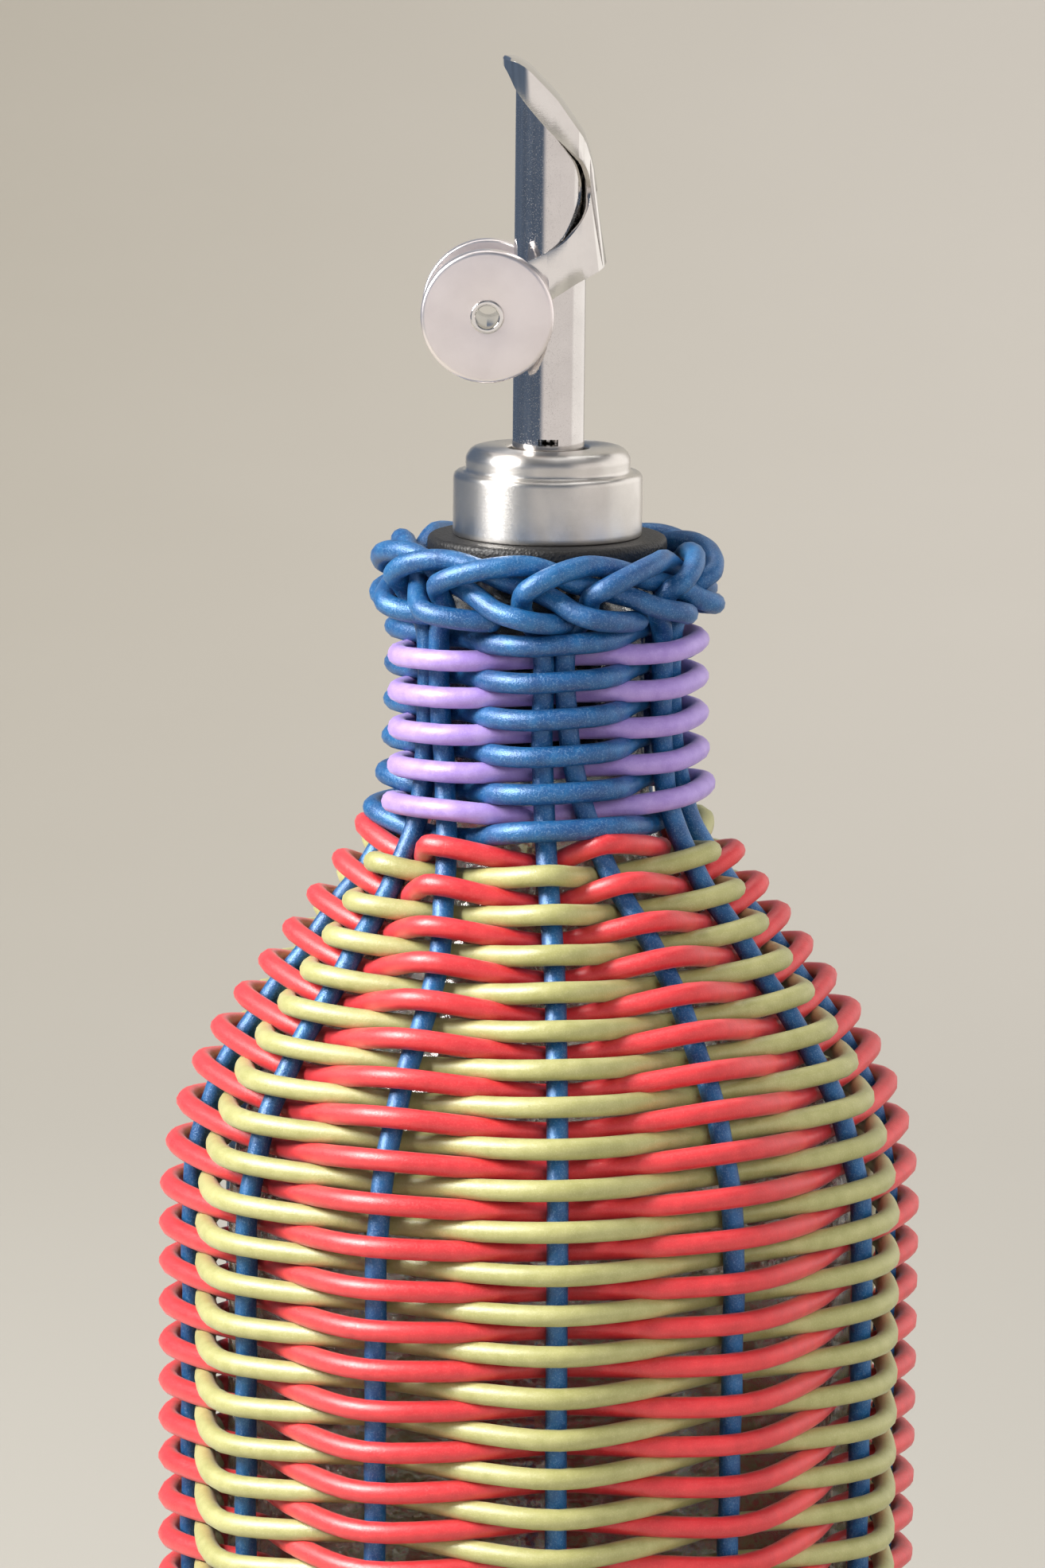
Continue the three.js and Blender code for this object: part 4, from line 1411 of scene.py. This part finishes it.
@dataclass
class Flap:
    """The lid over the mouth, bent from one sheet with its back and arms, and its counterweight."""

    cap_top: float = 208.865
    radius: float = 5.25
    sheet: float = 0.7
    lip: float = -5.75
    lip_start: float = -2.4
    pivot: Flat = (-1.0, 18.0)
    pin_hole: float = 0.95
    weight: Flat = (-7.2, 15.8)
    eyelet_hole: float = 1.85
    pad: float = 4.0
    flare: float = 1.3
    flare_top: float = 29.3
    flare_most: float = 1.1
    flare_curve: float = 1.4
    flare_side: Flat = (2.0, 5.5)
    tail_end: float = 21.6
    lid_foot: float = 30.0
    top_foot: float = 29.0
    crown: float = 0.3
    disc_gap: float = 0.02
    disc_radius: float = 7.7
    disc_thick: float = 2.6
    edge_ease: float = 0.28
    fold_ease: float = 0.4
    fold_angle: float = 50.0
    crease: float = 35.0
    eyelet_radius: float = 1.8
    eyelet_bore: float = 1.35
    curl: float = 0.12
    curl_height: float = 0.3
    shank_step: float = 0.2
    lip_share: float = 0.8
    back_steps: int = 12
    lip_steps: int = 8
    crown_way: tuple[float, float, float] = (0.6, 0.0, 0.8)
    crown_least: float = 0.5
    crown_cuts: int = 5

    # Across and height of the lid's top, of its skirt's lower edge with the round cut, of the arm's lower
    # edge, and of the corner where the arm leaves the lid
    top: tuple[Flat, ...] = (
        (-5.75, 45.15),
        (-4.2, 45.0),
        (-2.83, 44.25),
        (0.56, 40.8),
        (3.7, 36.3),
        (4.5, 33.9),
        (5.0, 31.6),
        (5.25, 29.2),
    )
    cut: tuple[Flat, ...] = (
        (-5.75, 44.55),
        (-5.1, 43.6),
        (-3.99, 41.5),
        (-1.75, 38.7),
        (0.05, 36.75),
        (2.31, 34.72),
        (4.0, 32.9),
        (4.62, 30.52),
        (4.3, 28.2),
        (3.11, 25.91),
        (1.49, 24.14),
        (-1.0, 22.75),
    )
    under: tuple[Flat, ...] = ((-1.0, 16.6), (0.63, 17.87), (2.11, 18.78), (3.5, 19.72), (4.2, 20.4))
    corner: Flat = (-2.65, 22.0)

    # Run round the back and drop of the tail's end, and places on the arm above and below the weight's pad
    tail: tuple[Flat, ...] = ((0.0, 0.0), (1.5, 0.25), (2.8, 0.85))
    over_pad: Flat = (2.4, 3.4)
    under_pad: Flat = (2.2, -3.2)

    def __post_init__(self) -> None:
        """Work out the run of a quarter turn round the back."""
        self.quarter = self.radius * math.pi / 2

    def _roof(self, across: float) -> float:
        """Give the height of the lid's top.

        Args:
            across: The place across.

        Returns:
            The height above the cap.
        """
        for (x0, z0), (x1, z1) in zip(self.top, self.top[1:]):
            if across <= x1:
                return mix(z0, z1, (across - x0) / (x1 - x0))
        return self.top[-1][1]

    def _plan(self, run: float) -> Flat:
        """Bend the sheet's run round the lid, from the middle of its back to its lip.

        Args:
            run: The run along the flat sheet.

        Returns:
            The place across and the depth.
        """
        if run <= self.quarter:
            angle = run / self.radius
            return self.radius * math.cos(angle), -self.radius * math.sin(angle)
        straight = -self.lip_start
        if run <= self.quarter + straight:
            return self.quarter - run, -self.radius
        t = min((run - self.quarter - straight) / self._lip_run(), 1.0)
        x = self.lip_start * (1 - t) ** 2 + self.lip * (2 * t * (1 - t) + t * t)
        return x, -self.radius * ((1 - t) ** 2 + 2 * t * (1 - t))

    def _lip_run(self) -> float:
        """Give the run that is kept for the rounded lip."""
        return (self.radius + self.lip_start - self.lip) * self.lip_share

    def _run(self, across: float, lid: bool) -> float:
        """Give the run along the flat sheet.

        Args:
            across: The place across on the bent sheet.
            lid: Whether it is on the lid, not on the arm.

        Returns:
            The run from the middle of the back.
        """
        if across >= 0:
            return self.radius * math.acos(min(across / self.radius, 1.0))
        if across >= self.lip_start or not lid:
            return self.quarter - across
        share = min((self.lip_start - across) / (self.lip_start - self.lip), 1.0)
        t = 1 - math.sqrt(1 - share)
        return self.quarter - self.lip_start + t * self._lip_run()

    def _stations(self) -> list[float]:
        """Give the runs at which the sheet bends.

        Returns:
            The runs from the middle of the back to the lip.
        """
        end = self.quarter - self.lip_start
        runs = [self.quarter * i / self.back_steps for i in range(self.back_steps + 1)]
        runs += [mix(self.quarter, end, 0.5), end]
        return runs + [end + self._lip_run() * i / self.lip_steps for i in range(1, self.lip_steps + 1)]

    def _edge(self, points: Sequence[Flat], lid: bool, steps: int) -> list[Flat]:
        """Draw a smooth edge on the flat sheet as run and height."""
        line = curve_through([Vector((x, 0, z)) for x, z in points], steps)
        return [(self._run(spot.x, lid and spot.z > self.lid_foot), spot.z) for spot in line]

    def _hole(self, centre: Flat, radius: float, start: float, end: float) -> list[Flat]:
        """Draw part of a round hole or pad on the flat arm.

        Args:
            centre: The place across and the height of its middle.
            radius: Its radius.
            start: The angle to start at, in degrees.
            end: The angle to end at, in degrees.

        Returns:
            The points, run and height.
        """
        points = []
        steps = 12
        for i in range(steps + 1):
            angle = math.radians(mix(start, end, i / steps))
            across = centre[0] + radius * math.cos(angle)
            points.append((self._run(across, False), centre[1] + radius * math.sin(angle)))
        return points

    def sheet_mesh(self) -> bmesh.types.BMesh:
        """Cut the flat sheet, bend it round the tube, mirror it and close the lid's top.

        Returns:
            The bent sheet with no thickness, in millimetres above the cap.
        """
        bm = bmesh.new()
        stations = self._stations()
        roof = [(run, self._roof(self._plan(run)[0])) for run in stations]
        pin_run = self._run(self.pivot[0], False)
        weight_run = self._run(self.weight[0], False)
        low = [(self._run(x, False), z) for x, z in self.under]
        tail = [(run, self.tail_end - drop) for run, drop in self.tail]
        lid = self._edge(self.cut, lid=True, steps=4)
        right = roof + lid + self._hole(self.pivot, self.pin_hole, 90, -90) + low + tail[::-1]
        pad_x, pad_z = self.weight
        corner = (self._run(self.corner[0], False), self.corner[1])
        over, under = ((self._run(pad_x + x, False), pad_z + z) for x, z in (self.over_pad, self.under_pad))
        middle = [(pin_run, self.cut[-1][1]), corner, over, (weight_run, pad_z + self.pad)]
        middle += self._hole(self.weight, self.eyelet_hole, 90, -90)
        middle += [(weight_run, pad_z - self.pad), under, low[0]]
        middle += self._hole(self.pivot, self.pin_hole, 270, 90)
        left = self._hole(self.weight, self.pad, 90, 270) + self._hole(self.weight, self.eyelet_hole, 270, 90)
        for outline in (right, middle, left):
            verts = [bm.verts.new((run, 0, height)) for run, height in self._clean(outline)]
            bm.faces.new(verts)
        for run in stations[1:-1]:
            where = {"plane_co": (run, 0, 0), "plane_no": (1, 0, 0), "dist": 1e-4}
            bmesh.ops.bisect_plane(bm, geom=everything(bm), **where)
        bmesh.ops.remove_doubles(bm, verts=bm.verts, dist=1e-3)
        for vert in bm.verts:
            vert.co = self._bent(vert.co.x, vert.co.z)
        bmesh.ops.mirror(bm, geom=everything(bm), merge_dist=1e-3, axis="Y")
        bmesh.ops.remove_doubles(bm, verts=bm.verts, dist=1e-3)
        self._close_top(bm)
        bmesh.ops.recalc_face_normals(bm, faces=bm.faces)
        return bm

    @staticmethod
    def _clean(outline: Sequence[Flat]) -> list[Flat]:
        """Drop points that lie on the one before or on the first.

        Args:
            outline: The points of an outline.

        Returns:
            The points that are left.
        """
        kept: list[Flat] = []
        for spot in outline:
            if all(math.dist(spot, other) > 1e-3 for other in kept[-1:] + kept[:1]):
                kept.append(spot)
        return kept

    def _bent(self, run: float, height: float) -> Vector:
        """Bend a point of the flat sheet round the tube, with the tail flared.

        Args:
            run: The run along the flat sheet.
            height: The height above the cap.

        Returns:
            The point on the bent sheet.
        """
        if height > self.lid_foot or run <= self.quarter:
            x, y = self._plan(run)
        else:
            x, y = self.quarter - run, -self.radius
        drop = max(self.flare_top - height, 0.0) / (self.flare_top - self.tail_end)
        out = self.flare * min(drop, self.flare_most) ** self.flare_curve * (1 - ease(run, *self.flare_side))
        if run <= self.quarter:
            x, y = x * (1 + out / self.radius), y * (1 + out / self.radius)
        return Vector((x, y, height))

    def _close_top(self, bm: bmesh.types.BMesh) -> None:
        """Close the lid's top between the upper edges and give it a crown.

        Args:
            bm: The bent sheet.
        """

        def on_top(vert: bmesh.types.BMVert) -> bool:
            """Say whether a corner lies on the lid's upper edge."""
            return abs(vert.co.z - self._roof(vert.co.x)) < 0.02 and vert.co.z > self.top_foot

        rim = [e for e in bm.edges if e.is_boundary and all(on_top(v) for v in e.verts)]
        top = set(bmesh.ops.edgeloop_fill(bm, edges=rim)["faces"])
        for run in self._stations()[1:-1]:
            geometry: list[Any] = list(top)
            geometry += list({e for f in top for e in f.edges}) + list({v for f in top for v in f.verts})
            where = {"plane_co": (self._plan(run)[0], 0, 0), "plane_no": (1, 0, 0), "dist": 1e-4}
            cut = bmesh.ops.bisect_plane(bm, geom=geometry, **where)
            top |= {g for g in cut["geom"] if isinstance(g, bmesh.types.BMFace)}
            top = {f for f in top if f.is_valid}
        across = [
            e
            for e in {e for f in top for e in f.edges}
            if abs(e.verts[0].co.x - e.verts[1].co.x) < 1e-3 and abs(e.verts[0].co.y - e.verts[1].co.y) > 0.5
        ]
        split = bmesh.ops.subdivide_edges(bm, edges=across, cuts=self.crown_cuts, use_grid_fill=True)
        for vert in (g for g in split["geom_inner"] if isinstance(g, bmesh.types.BMVert)):
            half = max(self._half_width(vert.co.x), self.crown_least)
            crown = self.crown * (1 - (vert.co.y / half) ** 2)
            vert.co += Vector(self.crown_way) * crown

    def _half_width(self, across: float) -> float:
        """Give half the lid's width at a place across."""
        return abs(self._plan(self._run(across, True))[1])

    def build(self, finishes: dict[Slot, bpy.types.Material], disc: bpy.types.Material) -> None:
        """Make and dress the flap and its counterweight.

        Args:
            finishes: The materials by slot.
            disc: The finish of the counterweight discs.
        """
        bm = self.sheet_mesh()
        bmesh.ops.translate(bm, vec=(0, 0, self.cap_top), verts=bm.verts)
        easing = bm.edges.layers.float.new("bevel_weight_edge")
        for edge in bm.edges:
            if edge.is_boundary:
                edge[easing] = 1.0
            elif edge.calc_face_angle(0) > math.radians(self.fold_angle):
                edge[easing] = self.fold_ease
        lid = show("bent_flap", to_mesh("bent_flap", bm), finishes[Slot.POLISHED], self.crease)
        wall = lid.modifiers.new("sheet", "SOLIDIFY")
        wall.thickness = self.sheet * MM
        wall.offset = -1.0
        wall.use_even_offset = False
        eased = lid.modifiers.new("eased", "BEVEL")
        eased.width = self.edge_ease * MM
        eased.segments = 3
        eased.limit_method = "WEIGHT"
        dress(lid, Body.FLAP, "flap_lid")
        for where, side in (("front", -1), ("rear", 1)):
            name, node = f"{where}_weight", f"weight_disc_{where}"
            add_piece(name, self._disc(side), Body.FLAP, node, disc)
        steel = finishes[Slot.POLISHED]
        add_piece("hollow_eyelet", self._eyelet(), Body.FLAP, "weight_eyelet", steel)

    def _seat(self, bm: bmesh.types.BMesh, side: int) -> None:
        """Turn a piece from the upright axis to the eyelet's axis, facing one side.

        Args:
            bm: The piece.
            side: -1 to face the front, 1 to face the rear.
        """
        turn = Matrix.Rotation(math.pi / 2 * -side, 4, "X")
        move = Matrix.Translation((self.weight[0], 0, self.cap_top + self.weight[1]))
        bmesh.ops.transform(bm, matrix=move @ turn, verts=bm.verts)

    def _disc(self, side: int) -> bmesh.types.BMesh:
        """Make a counterweight disc outside one arm.

        Args:
            side: -1 for the front, 1 for the rear.

        Returns:
            The mesh in millimetres.
        """
        inner = self.radius + self.disc_gap
        outer = inner + self.disc_thick
        corners = (
            (self.eyelet_hole, inner, 0.1),
            (self.disc_radius, inner, 0.35),
            (self.disc_radius, outer, 0.55),
            (self.eyelet_hole, outer, 0.15),
        )
        bm = turned(rounded(corners, steps=5), steps=128)
        self._seat(bm, side)
        return bm

    def _eyelet(self) -> bmesh.types.BMesh:
        """Make the hollow eyelet with its two curled ends.

        Returns:
            The mesh in millimetres.
        """
        end = self.radius + self.disc_gap + self.disc_thick
        seat, rim = end + self.disc_gap, end + self.curl_height
        bore, shank = self.eyelet_bore, self.eyelet_radius - self.shank_step
        curl = self.eyelet_radius + self.curl
        half = ((shank, seat, 0.05), (curl, seat, 0.1), (curl, rim, 0.18), (bore, rim, 0.15))
        corners = [(radius, -height, ease_by) for radius, height, ease_by in reversed(half)]
        bm = turned(rounded([*corners, *half]), steps=64)
        self._seat(bm, 1)
        return bm


@dataclass
class Studio:
    """The paper sweep, the lamps, the world and the camera."""

    camera_spot: tuple[float, float, float] = (-0.03, -921.05, 322.17)
    pitch: float = 9.45
    yaw: float = 0.16
    roll: float = 0.573
    focal_pixels: float = 10000.0

    def build(self) -> None:
        """Set up everything round the object."""
        self._paper()
        self._surround()
        self._lamps()
        self._world()
        self._camera()
        bpy.context.scene.view_settings.view_transform = "Standard"

    def _paper(self) -> None:
        """Lay a paper sweep that runs from the table up the wall."""
        bm = bmesh.new()
        front, bend, radius, half, rise = -1400, 600, 1400, 1400, 1600
        start = bm.verts.new((0, front, 0))
        corner = bm.verts.new((0, bend, 0))
        bm.edges.new((start, corner))
        sweep = {"cent": (0, bend, radius), "axis": (1, 0, 0), "dvec": (0, 0, 0), "angle": math.pi / 2}
        bmesh.ops.spin(bm, geom=[corner], steps=48, **sweep)
        head = max(bm.verts, key=lambda v: v.co.z)
        tip = bmesh.ops.extrude_vert_indiv(bm, verts=[head])["verts"]
        bmesh.ops.translate(bm, vec=(0, 0, rise), verts=tip)
        bmesh.ops.translate(bm, vec=(-half, 0, 0), verts=bm.verts)
        drawn = bmesh.ops.extrude_edge_only(bm, edges=bm.edges[:])
        moved = [g for g in drawn["geom"] if isinstance(g, bmesh.types.BMVert)]
        bmesh.ops.translate(bm, vec=(2 * half, 0, 0), verts=moved)
        bm.normal_update()
        floor = min(bm.faces, key=lambda f: f.calc_center_median().y)
        if floor.normal.z < 0:
            bmesh.ops.reverse_faces(bm, faces=bm.faces)
        # The paper's dark side, its near tone and its colour under the key lamp are painted shade
        finish = PaperFinish(
            "backdrop_paper",
            near=tone(165, 162, 155),
            light=tone(196, 191, 183),
            dark=tone(170, 164, 152),
            painted_key_shade=tone(130, 128, 123),
        )
        show("paper_sweep", to_mesh("paper_sweep", bm), finish.material())

    @staticmethod
    def _surround() -> None:
        """Stand a ring round the set that only reflections see, dark at the left and bright at the right."""
        radius, foot, head = 1100, 3, 1000
        bm = turned([(radius, foot), (radius, head)], steps=48, closed=False)
        material, graph = new_graph("surround")
        spot = graph.millimetres()
        x, y, z = (graph.part(spot, axis) for axis in "XYZ")
        degrees = graph.turn(x, 0 - y) * math.degrees(1)
        right = graph.step(degrees, 76, 86) * graph.step(degrees, 158, 146)
        past_left = graph.step(degrees, -158, -166)
        behind = graph.step(degrees, 146, 158) + past_left
        low = graph.step(z, 430, 260)
        aside = graph.step(degrees, 25, 50)
        lit = (graph.step(degrees, -31, -13) + past_left) * (1 - (1 - aside) * (1 - low))
        dark = graph.blend(graph.noise(spot, scale=0.006), tone(56, 69, 88), tone(92, 108, 130))
        sides = graph.blend(right, tone(220, 214, 211), tone(248, 244, 240))
        glow = graph.blend(lit, dark, graph.blend(behind, sides, tone(176, 171, 162)))
        black, strength = (0.0, 0.0, 0.0), 1.3
        glowing = {"Emission Color": glow, "Emission Strength": strength}
        graph.surface({"Base Color": black, "Roughness": 1.0, **glowing})
        ring = show("surround", to_mesh("surround", bm), material)
        ring.visible_camera = False
        ring.visible_diffuse = False
        ring.visible_shadow = False
        ring.visible_transmission = False

    def _lamps(self) -> None:
        """Hang the soft boxes."""
        middle = Vector((0, 0, 0.15))
        warm, plain = (1.0, 0.98, 0.95), (1.0, 0.98, 0.97)
        self._box("key_box", Vector((-0.89, -0.29, 0.83)), middle, (0.5, 0.55), 33.0, warm)
        self._box("fill_box", Vector((0.7, -1.15, 0.6)), middle, (1.0, 0.9), 11.5, plain, False)
        self._box("rim_box", Vector((1.1, 0.45, 0.4)), middle, (0.5, 0.8), 5.0, plain, False)
        self._box("top_box", Vector((0.1, 0.1, 1.35)), middle, (1.0, 0.8), 3.0, plain)
        self._box("wall_box", Vector((0.1, 0.75, 1.5)), Vector((0, 1.5, 0.2)), (1.4, 0.5), 6.5, warm)

    @staticmethod
    def _box(
        name: str, spot: Vector, aim: Vector, size: Flat, power: float, colour: Colour, mirrored: bool = True
    ) -> None:
        """Hang one soft box.

        Args:
            name: The lamp's name.
            spot: Its place in metres.
            aim: The place it faces, in metres.
            size: Its width and height in metres.
            power: Its power in watts.
            colour: Its colour.
            mirrored: Whether reflections show it.
        """
        lamp = bpy.data.lights.new(name, "AREA")
        lamp.shape = "RECTANGLE"
        lamp.size, lamp.size_y = size
        lamp.energy, lamp.color = power, colour
        made = bpy.data.objects.new(name, lamp)
        made.location = spot
        made.rotation_euler = (aim - spot).to_track_quat("-Z", "Y").to_euler()
        made.visible_glossy = mirrored
        bpy.context.scene.collection.objects.link(made)

    @staticmethod
    def _world() -> None:
        """Fill the room with an even light, with a dim ceiling in reflections and a pale tone in view."""
        world = bpy.data.worlds.new("studio")
        world.use_nodes = True
        graph = Graph(world.node_tree)
        mirrored = graph.node("ShaderNodeLightPath", {}, {}, "Is Glossy Ray")
        seen = graph.node("ShaderNodeLightPath", {}, {}, "Is Camera Ray")
        even, ceiling, backdrop = (0.15, 0.152, 0.157), (0.1, 0.105, 0.115), tone(205, 199, 188)
        room = graph.blend(seen, graph.blend(mirrored, even, ceiling), backdrop)
        shade = graph.node("ShaderNodeBackground", {}, {"Color": room, "Strength": 1.0})
        out = graph.tree.nodes.new("ShaderNodeOutputWorld")
        graph.tree.links.new(shade.socket, out.inputs["Surface"])
        bpy.context.scene.world = world

    def _camera(self) -> None:
        """Set the camera where the photograph was taken from."""
        data = bpy.data.cameras.new("camera")
        data.sensor_fit = "VERTICAL"
        data.sensor_height = 36.0
        data.lens = self.focal_pixels * data.sensor_height / IMAGE_HEIGHT
        data.clip_start, data.clip_end = 0.05, 20.0
        made = bpy.data.objects.new("camera", data)
        aim = (
            Matrix.Rotation(math.radians(self.yaw), 4, "Z")
            @ Matrix.Rotation(math.radians(90 - self.pitch), 4, "X")
            @ Matrix.Rotation(math.radians(self.roll), 4, "Z")
        )
        made.matrix_world = Matrix.Translation(Vector(self.camera_spot) * MM) @ aim
        bpy.context.scene.collection.objects.link(made)
        bpy.context.scene.camera = made


def all_finishes() -> dict[Slot, bpy.types.Material]:
    """Make the material of each slot.

    Returns:
        The materials by slot.
    """
    finishes = {
        Slot.BLUE: CaneFinish(
            "pearl_blue_cane",
            tone(18, 101, 158),
            tone(5, 68, 123),
            tone(168, 202, 230),
            speck=0.2,
            pearl=0.26,
            rough=0.42,
            pebbles=0.7,
            sheen=0.0,
        ),
        Slot.RED: CaneFinish("red_cane", tone(214, 44, 50), tone(188, 24, 34), tone(238, 116, 112)),
        Slot.OLIVE: CaneFinish("olive_cane", tone(172, 169, 110), tone(151, 149, 87), tone(222, 216, 178)),
        Slot.PURPLE: CaneFinish("purple_cane", tone(174, 148, 212), tone(146, 118, 192), tone(208, 188, 236)),
        Slot.GLASS: GlassFinish("clear_glass", (0.93, 0.97, 0.95)),
        Slot.RUBBER: RubberFinish("black_rubber", tone(16, 15, 15), tone(36, 34, 33)),
        Slot.SATIN: SteelFinish(
            "satin_steel",
            tone(222, 218, 213),
            tone(198, 194, 189),
            rough=0.28,
            brush=Brush.TURNED,
            marks=0.8,
            grain=0.08,
            cover=0.6,
            stretch=0.75,
        ),
        Slot.POLISHED: SteelFinish(
            "polished_steel",
            tone(224, 221, 217),
            tone(204, 200, 196),
            rough=0.1,
            brush=Brush.TURNED,
            marks=0.35,
        ),
    }
    return {slot: finish.material() for slot, finish in finishes.items()}


def main() -> None:
    """Build the cruet piece by piece round the loaded frame."""
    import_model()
    finishes = all_finishes()
    line = Outline()
    Bottle(line=line).build(finishes)
    Weave(line=line).build(finishes)
    drawn = SteelFinish(
        "drawn_steel",
        tone(210, 206, 203),
        tone(194, 190, 187),
        rough=0.07,
        brush=Brush.TURNED,
        marks=0.3,
        grain=0.2,
        cover=0.45,
    )
    Pourer().build(finishes, drawn.material())
    face = SteelFinish(
        "weight_steel",
        tone(244, 236, 235),
        tone(230, 221, 220),
        rough=0.3,
        brush=Brush.TUMBLED,
        marks=0.5,
        grain=0.05,
    )
    Flap().build(finishes, face.material())
    Studio().build()


if __name__ == "__main__":
    logging.basicConfig(level=logging.INFO, format="%(name)s %(message)s")
    main()
